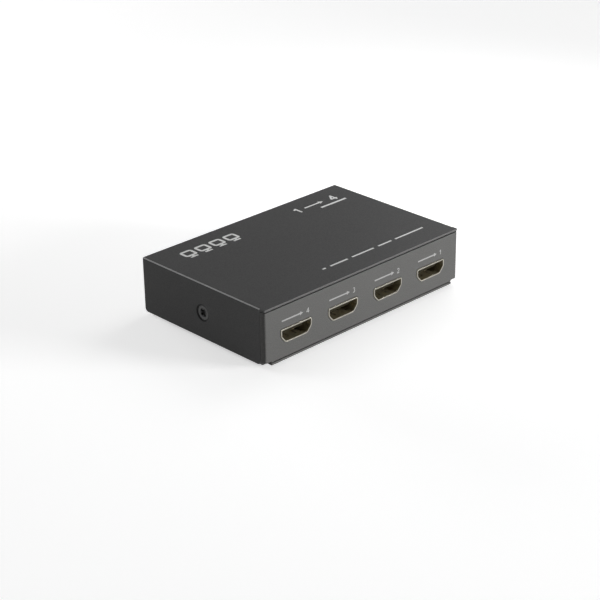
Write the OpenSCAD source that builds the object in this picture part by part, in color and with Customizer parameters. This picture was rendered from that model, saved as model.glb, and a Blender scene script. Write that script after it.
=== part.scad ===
// Four-way digital video splitter in a folded sheet-metal case.
// The output panel faces -Y, the input panel faces +Y, and Z = 0 is the surface that it stands on.

/* [Case] */
// Width of the case along X
case_w = 100; // [92:1:130]
// Depth of the case along Y
case_d = 65; // [62:1:90]
// Height of the folded case without its feet
case_h = 22; // [21:0.5:32]
// Thickness of the folded sheet
sheet_t = 0.8; // [0.6:0.1:1]
// Outside radius of the cover's two sharp folds
cover_fold_r = 0.5; // [0.3:0.1:0.6]
// Outside radius of the fold at the foot of the input panel
tray_fold_r = 1.6; // [1.2:0.1:2.2]
// Outside radius of the folds at both ends and at the foot of the output panel
panel_fold_r = 0.8; // [0.6:0.1:1.2]
// Depth of the output panel's returned ends
return_d = 2.4; // [2:0.1:4]
// Depth of the flange at the output panel's foot, which lies on the tray's floor
flange_d = 9; // [8:0.5:12]
// Width left free at each end of the output panel's foot and of the floor's edge under it
relief_w = 3; // [2:0.5:5]
// Radius of the lower corners of the cover's ends
end_corner_r = 1.5; // [0.5:0.5:3]
// Radius of the flat corners of the cover's top above the output panel
top_corner_r = 0.4; // [0.2:0.1:1.5]

/* [Clearances] */
// Gap between the cover's ends and the tray
seam_gap = 0.15; // [0.1:0.05:0.3]
// Gap between the cover's top and the upper edges of the panels
lid_gap = 0.4; // [0.2:0.1:0.8]
// Gap at each side of the input panel
input_side_gap = 0.7; // [0.4:0.1:1.2]
// How far the panels stand back from the cover's edges
face_set = 0.2; // [0.1:0.1:0.5]
// Height of the cover's lower edges above the tray's underside
skirt_gap = 0.3; // [0.1:0.1:1]
// Gap round the port lips in the panels
port_gap = 0.15; // [0.1:0.05:0.3]
// Gap between pieces that fit in each other
fit_gap = 0.05; // [0.03:0.01:0.1]
// Gap round the legs and screws that go through the board
leg_slack = 0.15; // [0.1:0.05:0.2]
// Gap between the board and the panels
board_gap = 0.5; // [0.3:0.1:1]

/* [Feet] */
// Diameter of each stick-on foot
foot_d = 8; // [6:0.5:12]
// Height of each foot
foot_h = 1.2; // [0.8:0.1:3]
// Width of the chamfer round the foot's lower edge
foot_chamfer = 0.4; // [0.1:0.1:0.6]
// Distance from the case's sides to each foot's middle
foot_inset = 11; // [9:0.5:18]

/* [Fasteners] */
// Thread diameter of the cover screws
cover_screw_d = 3; // [2.5:0.5:3]
// Head diameter of the cover screws
cover_head_d = 5.5; // [5.2:0.1:5.8]
// Diameter of the countersinks that the cover screws lie in
cover_sink_d = 6.3; // [6.1:0.1:6.6]
// Overall length of the cover screws
cover_screw_len = 6; // [5:0.5:8]
// Height of the cover screws above the tray's underside
cover_screw_h = 10.4; // [9.5:0.1:12]
// Width of the tabs that the cover screws go into
tab_w = 14; // [10:1:20]
// Height of the tabs above the tray's underside
tab_h = 16; // [14:0.5:18]
// Outside diameter of the clinch nuts on the tabs
nut_d = 5.6; // [5:0.1:6]
// Length of the clinch nuts
nut_len = 2.6; // [1.5:0.1:3]
// Diameter of the rivets that hold the output panel
panel_rivet_d = 2.4; // [2:0.1:3]
// Head diameter of the rivets under the tray's floor
panel_rivet_head_d = 4.8; // [4:0.1:5.5]
// Head height of the rivets
panel_rivet_head_h = 0.7; // [0.4:0.1:0.7]
// Diameter of the rivets' closed ends above the flange
panel_rivet_tail_d = 3.6; // [3.2:0.1:4]
// Height of the rivets' closed ends
panel_rivet_tail_h = 1.2; // [0.8:0.1:1.6]
// Distance between the two rivets
panel_rivet_span = 46; // [30:1:60]
// Distance from the output panel's face to the rivets' middles
panel_rivet_set = 5; // [4:0.5:5.5]
// Thread diameter of the board screws
board_screw_d = 2.5; // [2:0.5:2.5]
// Reach of the board screws into the standoffs
board_screw_bite = 3.3; // [2:0.1:3.4]
// Head diameter of the board screws
board_head_d = 4.8; // [4:0.1:5.5]
// Head height of the board screws
board_head_h = 1.6; // [1.2:0.1:2]
// Depth of the cross recess in every screw
recess_depth = 1; // [0.5:0.1:1]
// Width of each arm of the cross recess
recess_w = 0.9; // [0.5:0.1:1]
// Length of the cross recess from tip to tip
recess_len = 3.2; // [2:0.1:3.2]
// Diameter of the cross recess's tapered middle
recess_core_d = 2; // [1.5:0.1:2.2]

/* [Board] */
// Thickness of the circuit board
board_t = 1.6; // [1:0.1:2]
// Distance from the case's ends to the board's ends
board_inset = 4; // [3.5:0.5:5]
// Height of the standoffs under the board
standoff_h = 4.3; // [3.5:0.1:4.8]
// Outside diameter of the standoffs
standoff_d = 5; // [4.5:0.1:6]
// Distance from the board's ends to the mounting holes
hole_inset = 3.5; // [3.2:0.1:4]
// Distance between the mounting holes along the board's depth
hole_span = 20; // [14:1:21]

/* [Video ports] */
// Width of a port's opening
port_w = 14; // [13.8:0.1:14.4]
// Height of a port's opening
port_h = 4.55; // [4.4:0.05:4.8]
// Width of the opening's narrow side
port_foot_w = 10.2; // [9.6:0.1:11]
// Height of the opening's upright sides
port_side_h = 2.3; // [2:0.1:2.6]
// Rounding of the opening's corners
port_round = 0.4; // [0.3:0.1:0.9]
// Depth of a port from its mouth to its back
port_d = 12; // [11:0.5:13]
// Thickness of the port's metal shell
shell_t = 0.3; // [0.2:0.05:0.4]
// Width of the lip round the mouth
lip_w = 0.45; // [0.4:0.05:0.6]
// Depth of the lip
lip_t = 0.6; // [0.4:0.1:0.8]
// Height of the shells above the board
port_lift = 0.1; // [0.05:0.05:0.2]
// Distance from the case's ends to the middles of the outer output ports
port_end = 15.05; // [14:0.05:17]
// Distance from the case's end to the input port's middle
input_end = 23; // [16:0.5:24]
// Width of the contact tongue
tongue_w = 10.6; // [10.2:0.1:11]
// Thickness of the contact tongue
tongue_t = 1.2; // [1:0.1:1.4]
// Height of the tongue's middle above the opening's middle
tongue_rise = 0.3; // [0:0.1:0.5]
// Depth of the tongue's edge behind the mouth
tongue_set = 2.4; // [2:0.1:3]
// Depth of the plastic block at the port's back
insulator_d = 3; // [2:0.5:4]
// Width of the spring fingers cut in the shell
finger_w = 2; // [1.5:0.1:2.4]
// Length of the spring fingers
finger_len = 4.6; // [3.5:0.1:5]
// Width of the slots round the fingers
finger_slot = 0.35; // [0.2:0.05:0.4]
// Distance from the port's middle to each finger's middle
finger_x = 2.9; // [2.2:0.1:3.2]
// Depth of the fingers' roots behind the mouth
finger_set = 2; // [1.5:0.1:2.6]
// Width of the shell's solder legs
leg_w = 1.5; // [1:0.1:1.8]
// Depth of the first pair of legs behind the mouth
leg_set = 2.6; // [2.2:0.1:3]
// Distance from the first pair of legs to the second
leg_step = 5.8; // [5:0.1:6.4]
// How far solder legs reach below the board
leg_out = 0.8; // [0.4:0.1:1.2]
// Contacts on the tongue's upper side, one fewer below
contact_count = 10; // [8:1:10]
// Distance between contacts of one row
contact_pitch = 1; // [0.9:0.05:1]
// Width of a contact
contact_w = 0.36; // [0.3:0.02:0.4]
// Thickness of a contact
contact_t = 0.2; // [0.15:0.05:0.25]
// Depth of a contact in the tongue's surface
contact_sink = 0.14; // [0.1:0.02:0.14]
// Distance from the tongue's edge to the contacts
contact_set = 0.5; // [0.3:0.1:0.8]
// Distance from the port's back to the contact tails
tail_set = 0.3; // [0.2:0.1:0.6]
// Length of the contact feet on the board
tail_len = 0.9; // [0.6:0.1:1.2]

/* [Power inlet] */
// Distance from the case's end to the inlet's middle
jack_end = 16; // [13:0.5:17]
// Width of the inlet's front block
jack_w = 9; // [8.6:0.1:9.6]
// Height of the inlet above the board
jack_h = 11.2; // [10.8:0.1:11.4]
// Depth of the inlet
jack_d = 14; // [13.5:0.5:15]
// Depth of the inlet's front block
jack_front_d = 3.4; // [2.4:0.2:4]
// How far the rear block stands in from the front block
jack_step = 0.4; // [0.35:0.05:0.6]
// Gap round the inlet in the panel
jack_gap = 0.25; // [0.15:0.05:0.4]
// Rounding of the panel's cut-out for the inlet
jack_cut_r = 0.6; // [0.3:0.1:1]
// Height of the inlet's axis above the board
jack_axis_h = 6.8; // [6.4:0.1:7]
// Diameter of the inlet's bore
jack_bore_d = 6.4; // [6.2:0.1:6.6]
// Depth of the inlet's bore
jack_bore_len = 9.5; // [9:0.5:10]
// Diameter of the centre pin
pin_d = 2; // [1.6:0.1:2.5]
// Depth of the centre pin's tip behind the face
pin_set = 1.4; // [1:0.1:2]
// Length of the pin's tapered tip
pin_tip = 0.6; // [0.3:0.1:1]
// Diameter of the pin's root in the inlet's plastic
pin_root_d = 2.6; // [2.6:0.1:2.9]
// Diameter of the rivet behind the pin
rivet_d = 3.4; // [3:0.1:4]
// Thickness of the inlet's metal strips
strip_t = 0.3; // [0.2:0.05:0.4]
// Width of the inlet's metal strips
strip_w = 2; // [1.6:0.1:2.2]
// Gap round the leaf spring in its slot
spring_gap = 0.3; // [0.2:0.05:0.4]
// Depth of the leaf spring's free tip behind the face
spring_tip_y = 2.7; // [2.5:0.1:3]
// Depth of the leaf spring's crest behind the face
spring_crest_y = 4.6; // [4:0.1:5]
// Depth of the leaf spring's root behind the face
spring_root_y = 11.6; // [11:0.1:12]
// Distance from the inlet's axis down to the crest
spring_crest_drop = 2.45; // [2.3:0.05:2.6]
// Distance from the inlet's axis down to the tip
spring_tip_drop = 3.3; // [3:0.1:3.5]
// Distance from the inlet's axis down to the root
spring_root_drop = 4.3; // [4:0.1:4.6]
// Depth of the front wall before the spring's slot
spring_wall = 2; // [1.5:0.1:2.2]
// Gap between the leaf spring and its solder leg
root_gap = 0.15; // [0.1:0.05:0.3]
// Depth of the switch leg behind the face
switch_leg_y = 5; // [4.2:0.1:6]
// Height of the switch leg on the inlet's side
switch_leg_h = 4; // [3:0.5:6]

/* [Status lights] */
// Distance between lights
led_pitch = 6.35; // [6:0.05:7]
// Distance from the case's middle to the first light
led_first_x = 5.55; // [5:0.05:7]
// Height of the lights above the board
led_h = 2.5; // [2.3:0.1:3]
// Diameter of a light's lens
led_d = 2.9; // [2.7:0.1:3]
// Gap round a lens in the panel
led_gap = 0.15; // [0.1:0.05:0.3]
// Length of a light from its tip to its flange
led_len = 4.3; // [3.8:0.1:5]
// Diameter of a light's flange
led_flange_d = 3.8; // [3.4:0.1:4.2]
// Thickness of a light's flange
led_flange_t = 1; // [0.6:0.1:1.2]
// Distance between a light's two leads
lead_pitch = 2.54; // [2:0.02:2.6]
// Thickness of a lead
lead_t = 0.5; // [0.4:0.05:0.6]
// Length of a lead before its bend
lead_run = 1.5; // [1:0.1:2]

/* [Board components] */
// Gap between neighbouring components
part_gap = 2; // [1.5:0.1:2.5]
// Side of the splitter chip
chip_w = 14; // [10:1:16]
// Thickness of the splitter chip
chip_t = 1.4; // [1:0.1:1.8]
// Height of the splitter chip above the board
chip_lift = 0.1; // [0.05:0.05:0.15]
// Place of the splitter chip along Y
chip_y = -2; // [-4:0.5:0]
// Leads on each side of the splitter chip
chip_leads = 12; // [6:1:12]
// Distance between the chip's leads
chip_lead_pitch = 0.8; // [0.7:0.05:0.8]
// Length of the chip's leads
chip_lead_len = 1; // [0.6:0.1:1.2]
// Height of the chip's leads
chip_lead_h = 0.8; // [0.6:0.1:1]
// Width of the chip's leads
chip_lead_w = 0.36; // [0.3:0.02:0.4]
// Thickness of the chip's leads
chip_lead_t = 0.16; // [0.12:0.02:0.2]
// Thickness of the thermal pad
pad_t = 0.5; // [0.3:0.1:1]
// Distance from the chip's sides to the thermal pad
pad_inset = 1; // [0.5:0.5:2]
// Height of the heat sink
sink_h = 6.5; // [4:0.5:8]
// Thickness of the heat sink's base
sink_base_t = 1.5; // [1:0.1:2]
// Number of fins
fin_count = 7; // [4:1:8]
// Thickness of a fin
fin_t = 0.8; // [0.5:0.1:1]
// Side of the equaliser chip behind the input port
equaliser_w = 7; // [5:0.5:8]
// Thickness of the equaliser chip
equaliser_t = 0.9; // [0.7:0.1:1.2]
// Length of the memory chip
memory_len = 5; // [4:0.5:5]
// Width of the memory chip
memory_w = 4; // [3:0.5:4]
// Thickness of the memory chip
memory_t = 1.5; // [1:0.1:1.8]
// Length of a voltage regulator
regulator_len = 6.5; // [5:0.5:7]
// Width of a voltage regulator
regulator_w = 3.5; // [3:0.5:4]
// Thickness of a voltage regulator
regulator_t = 1.6; // [1.2:0.1:2]
// Length of a regulator's cooling tab
regulator_tab = 1.7; // [1:0.1:2]
// Thickness of a regulator's cooling tab
regulator_tab_t = 0.3; // [0.2:0.1:0.5]
// Side of the power inductor
inductor_w = 6; // [5:0.5:6]
// Height of the power inductor
inductor_h = 3; // [2:0.5:4]
// Diameter of the inductor's round core
inductor_core_d = 4.6; // [3.5:0.1:4.8]
// Height of the core above the inductor's square base
inductor_core_h = 0.4; // [0.2:0.1:0.8]
// Diameter of a can capacitor
can_d = 6.3; // [5:0.1:6.3]
// Height of a can capacitor
can_h = 5.4; // [4:0.1:7]
// Side of a can capacitor's base
can_base_w = 6.6; // [6.4:0.1:7]
// Height of a can capacitor's base
can_base_h = 1; // [0.6:0.1:1.4]
// Length of the crystal
crystal_len = 10.8; // [8:0.2:11]
// Width of the crystal
crystal_w = 4.6; // [4:0.1:4.8]
// Height of the crystal
crystal_h = 3.5; // [2.5:0.1:4.5]
// Width of the crystal's bottom rim
crystal_rim = 0.4; // [0.2:0.1:0.6]
// Height of the crystal's bottom rim
crystal_rim_h = 0.4; // [0.2:0.1:0.6]
// Length of a surge protector
guard_len = 2.9; // [2:0.1:3]
// Width of a surge protector
guard_w = 1.6; // [1.2:0.1:1.8]
// Thickness of a surge protector
guard_t = 1.1; // [0.8:0.1:1.3]
// Distance between the two surge protectors of a port
guard_pitch = 5; // [4:0.5:6]
// Distance from a port's contact feet to its surge protectors
guard_set = 1.4; // [1:0.1:2]
// Resistors behind each output port
resistor_count = 6; // [2:1:6]
// Length of a resistor
resistor_len = 1.6; // [1:0.1:1.6]
// Width of a resistor
resistor_w = 0.8; // [0.5:0.1:0.8]
// Thickness of a resistor
resistor_t = 0.5; // [0.3:0.05:0.6]
// Distance between resistors
resistor_pitch = 1.8; // [1.4:0.1:2]
// Distance from the surge protectors to the resistors
resistor_set = 1.2; // [0.8:0.1:2]

/* [Hidden] */
$fn = 48;
through = 2;
corner_steps = 3;
output_count = 4;
light_count = output_count + 1;

tray_z = foot_h;
floor_z = tray_z + sheet_t;
top_z = tray_z + case_h;
lid_z = top_z - sheet_t;
panel_top = lid_z - lid_gap;
fold_z = tray_z + tray_fold_r;
panel_foot_z = floor_z + panel_fold_r;
half_w = case_w / 2;
half_d = case_d / 2;
output_y = -half_d + face_set;
input_y = half_d - face_set;
tray_half_w = half_w - sheet_t - seam_gap;
foot_half_w = half_w - relief_w;
input_half_w = half_w - sheet_t - input_side_gap;
end_y0 = output_y + return_d + fit_gap;
end_z0 = tray_z + skirt_gap;

screw_z = tray_z + cover_screw_h;
cover_screw_r = cover_screw_d / 2;
cover_head_r = cover_head_d / 2;
cover_head_h = cover_head_r - cover_screw_r;
cover_sink_r = cover_sink_d / 2;
cover_head_set = cover_sink_r - fit_gap - cover_head_r;
tab_x = tray_half_w - sheet_t;
panel_rivet_x = panel_rivet_span / 2;
panel_rivet_y = output_y + panel_rivet_set;
panel_rivet_r = panel_rivet_d / 2;

board_z = floor_z + standoff_h;
board_top = board_z + board_t;
board_w = case_w - 2 * board_inset;
board_d = case_d - 2 * (face_set + sheet_t + board_gap);
hole_x = board_w / 2 - hole_inset;
hole_y = hole_span / 2;
board_screw_r = board_screw_d / 2;
board_hole_r = board_screw_r + leg_slack;
board_screw_reach = board_t + board_screw_bite;

port_pitch = (case_w - 2 * port_end) / (output_count - 1);
input_x = half_w - input_end;
port_z = board_top + port_lift + shell_t + port_h / 2;
port_board_z = board_top - port_z;
port_shoulder = port_h / 2 - port_side_h;
slope_dx = (port_w - port_foot_w) / 2;
slope_dz = port_h - port_side_h;
slope_len = norm([slope_dx, slope_dz]);
tail_y = port_d + tail_set;
guard_y = tail_y + tail_len + guard_set;
resistor_y = guard_y + guard_w + resistor_set;

jack_x = jack_end - half_w;
jack_bore_r = jack_bore_d / 2;
jack_rear_half_w = jack_w / 2 - jack_step;
jack_rear_h = jack_h - jack_step;
pin_r = pin_d / 2;
pin_root_r = pin_root_d / 2;
leg_y = spring_root_y + root_gap;
strip_half_w = strip_w / 2;

led_r = led_d / 2;
led_z = board_top + led_h;
lead_y = led_len + led_flange_t + lead_run;
lead_hole_r = lead_t * sqrt(2) / 2 + leg_slack;

sink_w = chip_w;
sink_z = board_top + chip_lift + chip_t + pad_t;
fin_step = (sink_w - fin_t) / (fin_count - 1);
equaliser_y = half_d - guard_y - guard_w - part_gap - equaliser_w / 2;
chip_side = chip_w / 2 + chip_lead_len + part_gap;
memory_x = -chip_side - memory_w / 2;
crystal_x = chip_side + crystal_w / 2;
inductor_y = half_d - jack_d - strip_t - part_gap - inductor_w / 2;
can_x = jack_x + inductor_w / 2 + part_gap + can_base_w / 2;
can_step = can_base_w + part_gap;
regulator_x = can_x + can_base_w / 2 + part_gap + regulator_w / 2;
regulator_step = regulator_len + part_gap;

// Outlines

function unit(v) = v / norm(v);

// A corner drawn as a short curve between points set back along its two sides.
function eased_corner(before, at, after, cut) =
    let (a = at + cut * unit(before - at), b = at + cut * unit(after - at))
    [for (i = [0:corner_steps])
        let (s = i / corner_steps)
        (1 - s) * (1 - s) * a + 2 * s * (1 - s) * at + s * s * b];

function eased(points, cut) =
    let (n = len(points))
    [for (i = [0:n - 1])
        each eased_corner(points[(i + n - 1) % n], points[i], points[(i + 1) % n], cut)];

// The port's opening in X and Z about its middle, grown by the same amount on all sides.
function port_corners(grow) =
    let (
        w = port_w / 2 + grow,
        h = port_h / 2 + grow,
        shoulder = port_shoulder - grow * (slope_len - slope_dz) / slope_dx,
        foot = port_foot_w / 2 + grow * (slope_len - slope_dx) / slope_dz
    )
    [[-w, h], [w, h], [w, shoulder], [foot, -h], [-foot, -h], [-w, shoulder]];

function output_x(number) = ((output_count + 1) / 2 - number) * port_pitch;
function light_x(number) = led_first_x - (number - 1) * led_pitch;

// Placing and extruding

// A flat shape in Y and Z, drawn out along X about the middle.
module along_x(length) {
    translate([-length / 2, 0, 0])
        rotate([90, 0, 90])
            linear_extrude(length)
                children();
}

// A flat shape in X and Z, drawn out along Y from y0 to y1.
module along_y(y0, y1) {
    translate([0, y1, 0])
        rotate([90, 0, 0])
            linear_extrude(y1 - y0)
                children();
}

// A block between two opposite corners.
module block(low, high) {
    translate(low)
        cube(high - low);
}

// A round bar along Y.
module bar_y(r, y0, y1) {
    translate([0, y0, 0])
        rotate([-90, 0, 0])
            cylinder(r = r, h = y1 - y0);
}

// A quarter ring of sheet, in the corner between the +X and +Y axes.
module fold_ring(r) {
    intersection() {
        difference() {
            circle(r);
            circle(r - sheet_t);
        }
        square(r);
    }
}

// The rounded outside of a sharp fold that is square inside, in the same corner.
module fold_edge(r) {
    intersection() {
        circle(r);
        square(r);
    }
}

module both_ends() {
    children();
    mirror([1, 0, 0])
        children();
}

module at_output(number) {
    translate([output_x(number), -half_d, port_z])
        children();
}

module at_input() {
    translate([input_x, half_d, port_z])
        rotate([0, 0, 180])
            children();
}

module at_jack() {
    translate([jack_x, half_d, board_top + jack_axis_h])
        rotate([0, 0, 180])
            children();
}

module at_light(number) {
    translate([light_x(number), half_d, led_z])
        rotate([0, 0, 180])
            children();
}

module at_board_holes() {
    for (x = [-hole_x, hole_x], y = [-hole_y, hole_y])
        translate([x, y, 0])
            children();
}

// The middle of the countersink on the +X end, looking inwards along +Z.
module at_cover_screw() {
    translate([half_w, 0, screw_z])
        rotate([0, -90, 0])
            children();
}

module cross_recess() {
    for (turn = [45, 135])
        rotate([0, 0, turn])
            translate([-recess_len / 2, -recess_w / 2, -through])
                cube([recess_len, recess_w, recess_depth + through]);
    cylinder(d1 = recess_core_d, d2 = recess_core_d / 2, h = recess_depth);
    translate([0, 0, -through])
        cylinder(d = recess_core_d, h = through);
}

// Case

// The countersunk space for a cover screw, grown by the fit.
module cover_screw_space() {
    at_cover_screw() {
        translate([0, 0, -through])
            cylinder(r = cover_sink_r, h = through);
        cylinder(r1 = cover_sink_r, r2 = cover_screw_r + fit_gap, h = cover_head_set + cover_head_h);
        cylinder(r = cover_screw_r + fit_gap, h = cover_screw_len + through);
    }
}

module port_prism(grow, y0, y1) {
    along_y(y0, y1)
        polygon(eased(port_corners(grow), port_round + max(grow, 0)));
}

module jack_cut_outline() {
    x = jack_w / 2 + jack_gap - jack_cut_r;
    low = -jack_axis_h - jack_gap + jack_cut_r;
    high = jack_h - jack_axis_h + jack_gap - jack_cut_r;
    for (px = [-x, x], pz = [low, high])
        translate([px, pz])
            circle(jack_cut_r);
    translate([-x - jack_cut_r, low])
        square([2 * (x + jack_cut_r), high - low]);
    translate([-x, low - jack_cut_r])
        square([2 * x, high - low + 2 * jack_cut_r]);
}

// The middle of each rivet, on the underside of the tray's floor.
module at_panel_rivets() {
    for (x = [-panel_rivet_x, panel_rivet_x])
        translate([x, panel_rivet_y, tray_z])
            children();
}

module panel_rivet_holes() {
    at_panel_rivets()
        translate([0, 0, -through])
            cylinder(r = panel_rivet_r + fit_gap, h = 2 * sheet_t + 2 * through);
}

module tray_sheet() {
    along_x(2 * foot_half_w)
        translate([output_y, tray_z])
            square([end_y0 - output_y, sheet_t]);
    along_x(2 * tray_half_w)
        translate([end_y0, tray_z])
            square([input_y - tray_fold_r - end_y0, sheet_t]);
    along_x(2 * input_half_w) {
        translate([input_y - tray_fold_r, fold_z])
            rotate(-90)
                fold_ring(tray_fold_r);
        translate([input_y - sheet_t, fold_z])
            square([sheet_t, panel_top - fold_z]);
    }
    both_ends()
        block([tab_x, -tab_w / 2, tray_z], [tray_half_w, tab_w / 2, tray_z + tab_h]);
}

module base_tray() {
    color("dimgray")
        difference() {
            tray_sheet();
            panel_rivet_holes();
            at_input()
                port_prism(lip_w + port_gap, -through, through);
            at_jack()
                along_y(-through, through)
                    jack_cut_outline();
            for (number = [1:light_count])
                at_light(number)
                    bar_y(led_r + led_gap, -through, through);
            both_ends()
                cover_screw_space();
        }
}

// The output panel seen from above, with its two returned ends.
module output_panel_plan() {
    flat = half_w - panel_fold_r;
    translate([-flat, output_y])
        square([2 * flat, sheet_t]);
    both_ends() {
        translate([flat, output_y + panel_fold_r])
            mirror([0, 1, 0])
                fold_edge(panel_fold_r);
        translate([half_w - sheet_t, output_y + panel_fold_r])
            square([sheet_t, return_d - panel_fold_r]);
    }
}

// The fold and the flange at the output panel's foot.
module output_panel_foot() {
    along_x(2 * foot_half_w) {
        translate([output_y + panel_fold_r, panel_foot_z])
            rotate(180)
                fold_edge(panel_fold_r);
        translate([output_y + panel_fold_r, floor_z])
            square([flange_d - panel_fold_r, sheet_t]);
    }
}

module output_panel() {
    color("dimgray")
        difference() {
            union() {
                translate([0, 0, panel_foot_z])
                    linear_extrude(panel_top - panel_foot_z)
                        output_panel_plan();
                output_panel_foot();
            }
            for (number = [1:output_count])
                at_output(number)
                    port_prism(lip_w + port_gap, -through, through);
            panel_rivet_holes();
        }
}

module panel_rivets() {
    color("silver")
        at_panel_rivets() {
            translate([0, 0, -panel_rivet_head_h])
                cylinder(r1 = panel_rivet_r, r2 = panel_rivet_head_d / 2, h = panel_rivet_head_h);
            cylinder(r = panel_rivet_r, h = 2 * sheet_t);
            translate([0, 0, 2 * sheet_t])
                cylinder(d = panel_rivet_tail_d, h = panel_rivet_tail_h);
        }
}

// The cover's top, folds and ends in X and Z.
module cover_profile() {
    flat = half_w - cover_fold_r;
    translate([-flat, lid_z])
        square([2 * flat, sheet_t]);
    both_ends() {
        translate([flat, top_z - cover_fold_r])
            fold_edge(cover_fold_r);
        translate([half_w - sheet_t, end_z0])
            square([sheet_t, top_z - cover_fold_r - end_z0]);
    }
}

// What rounds off the lower corner of an end at y, the end lying towards side.
module end_corner_waste(y, side) {
    along_x(case_w + through)
        translate([y + side * end_corner_r, end_z0 + end_corner_r])
            difference() {
                translate([side > 0 ? -end_corner_r - through : 0, -end_corner_r - through])
                    square(end_corner_r + through);
                circle(end_corner_r);
            }
}

// The front of the cover's top, which lies over the output panel.
module top_tongue() {
    straight = half_w - top_corner_r;
    translate([0, 0, lid_z])
        linear_extrude(sheet_t) {
            translate([-half_w, output_y + top_corner_r])
                square([case_w, end_y0 - output_y - top_corner_r]);
            translate([-straight, output_y])
                square([2 * straight, top_corner_r]);
            for (x = [-straight, straight])
                translate([x, output_y + top_corner_r])
                    circle(top_corner_r);
        }
}

module top_cover() {
    color("#3c3c3c")
        difference() {
            union() {
                along_y(end_y0, half_d)
                    cover_profile();
                top_tongue();
            }
            end_corner_waste(end_y0, 1);
            end_corner_waste(half_d, -1);
            both_ends()
                cover_screw_space();
        }
}

module cover_screws() {
    color("#2a2a2a")
        both_ends()
            at_cover_screw()
                translate([0, 0, cover_head_set])
                    difference() {
                        union() {
                            cylinder(r1 = cover_head_r, r2 = cover_screw_r, h = cover_head_h);
                            cylinder(r = cover_screw_r, h = cover_screw_len);
                        }
                        cross_recess();
                    }
}

module clinch_nuts() {
    color("silver")
        both_ends()
            translate([tab_x, 0, screw_z])
                rotate([0, -90, 0])
                    difference() {
                        cylinder(d = nut_d, h = nut_len);
                        translate([0, 0, -through])
                            cylinder(r = cover_screw_r + fit_gap, h = nut_len + 2 * through);
                    }
}

module rubber_feet() {
    x = half_w - foot_inset;
    y = half_d - foot_inset;
    color("#1c1c1c")
        for (px = [-x, x], py = [-y, y])
            translate([px, py, 0]) {
                cylinder(r1 = foot_d / 2 - foot_chamfer, r2 = foot_d / 2, h = foot_chamfer);
                translate([0, 0, foot_chamfer])
                    cylinder(d = foot_d, h = foot_h - foot_chamfer);
            }
}

// Board

// A slot through the board for a leg of the given size, about the leg's middle at the board's top.
module leg_slot(x, y) {
    slot_x = x + 2 * leg_slack;
    slot_y = y + 2 * leg_slack;
    translate([-slot_x / 2, -slot_y / 2, -board_t - through])
        cube([slot_x, slot_y, board_t + 2 * through]);
}

// Slots in the board for the four legs of one shell, in the port's frame.
module shell_leg_slots() {
    for (side = [-1, 1], y = [leg_set, leg_set + leg_step])
        translate([side * (port_w + shell_t) / 2, y + leg_w / 2, port_board_z])
            leg_slot(shell_t, leg_w);
}

// Slots in the board for the three legs of the power inlet, in the inlet's frame.
module jack_leg_slots() {
    for (y = [jack_d, leg_y])
        translate([0, y + strip_t / 2, -jack_axis_h])
            leg_slot(strip_w, strip_t);
    translate([jack_rear_half_w + strip_t / 2, switch_leg_y + strip_half_w, -jack_axis_h])
        leg_slot(strip_t, strip_w);
}

module main_board() {
    color("darkgreen")
        difference() {
            block([-board_w / 2, -board_d / 2, board_z], [board_w / 2, board_d / 2, board_top]);
            at_board_holes()
                translate([0, 0, board_z - through])
                    cylinder(r = board_hole_r, h = board_t + 2 * through);
            for (number = [1:output_count])
                at_output(number)
                    shell_leg_slots();
            at_input()
                shell_leg_slots();
            at_jack()
                jack_leg_slots();
            for (number = [1:light_count], side = [-1, 1])
                at_light(number)
                    translate([side * lead_pitch / 2, lead_y, board_z - through - led_z])
                        cylinder(r = lead_hole_r, h = board_t + 2 * through);
        }
}

module board_standoffs() {
    color("goldenrod")
        at_board_holes()
            translate([0, 0, floor_z])
                difference() {
                    cylinder(d = standoff_d, h = standoff_h);
                    translate([0, 0, -through])
                        cylinder(r = board_screw_r + fit_gap, h = standoff_h + 2 * through);
                }
}

module board_screws() {
    color("silver")
        at_board_holes()
            difference() {
                union() {
                    translate([0, 0, board_top])
                        cylinder(d = board_head_d, h = board_head_h);
                    translate([0, 0, board_top - board_screw_reach])
                        cylinder(r = board_screw_r, h = board_screw_reach);
                }
                translate([0, 0, board_top + board_head_h])
                    mirror([0, 0, 1])
                        cross_recess();
            }
}

// Video ports, each drawn about its opening's middle with its mouth at Y = 0

// The slot round one spring finger, cut through the wall at height z.
module finger_cut(x, z) {
    side = (finger_w + finger_slot) / 2;
    for (px = [x - side, x + side])
        translate([px - finger_slot / 2, finger_set, z - shell_t])
            cube([finger_slot, finger_len, 2 * shell_t]);
    translate([x - side - finger_slot / 2, finger_set + finger_len, z - shell_t])
        cube([2 * side + finger_slot, finger_slot, 2 * shell_t]);
}

module port_shell() {
    wall_z = (port_h + shell_t) / 2;
    leg_low = port_board_z - board_t - leg_out;
    leg_high = port_shoulder + port_round;
    difference() {
        union() {
            port_prism(shell_t, 0, port_d);
            port_prism(lip_w, 0, lip_t);
            for (y = [leg_set, leg_set + leg_step])
                both_ends()
                    block([port_w / 2, y, leg_low], [port_w / 2 + shell_t, y + leg_w, leg_high]);
        }
        port_prism(0, -through, port_d + through);
        for (x = [-finger_x, finger_x], z = [-wall_z, wall_z])
            finger_cut(x, z);
    }
}

// One contact: a strip along the tongue, a drop behind the port and a foot on the board.
module port_contact(x, z) {
    strip_y = tongue_set + contact_set;
    translate([x - contact_w / 2, 0, 0]) {
        block([0, strip_y, z], [contact_w, tail_y + contact_t, z + contact_t]);
        block([0, tail_y, port_board_z], [contact_w, tail_y + contact_t, z + contact_t]);
        block([0, tail_y, port_board_z], [contact_w, tail_y + tail_len, port_board_z + contact_t]);
    }
}

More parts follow.
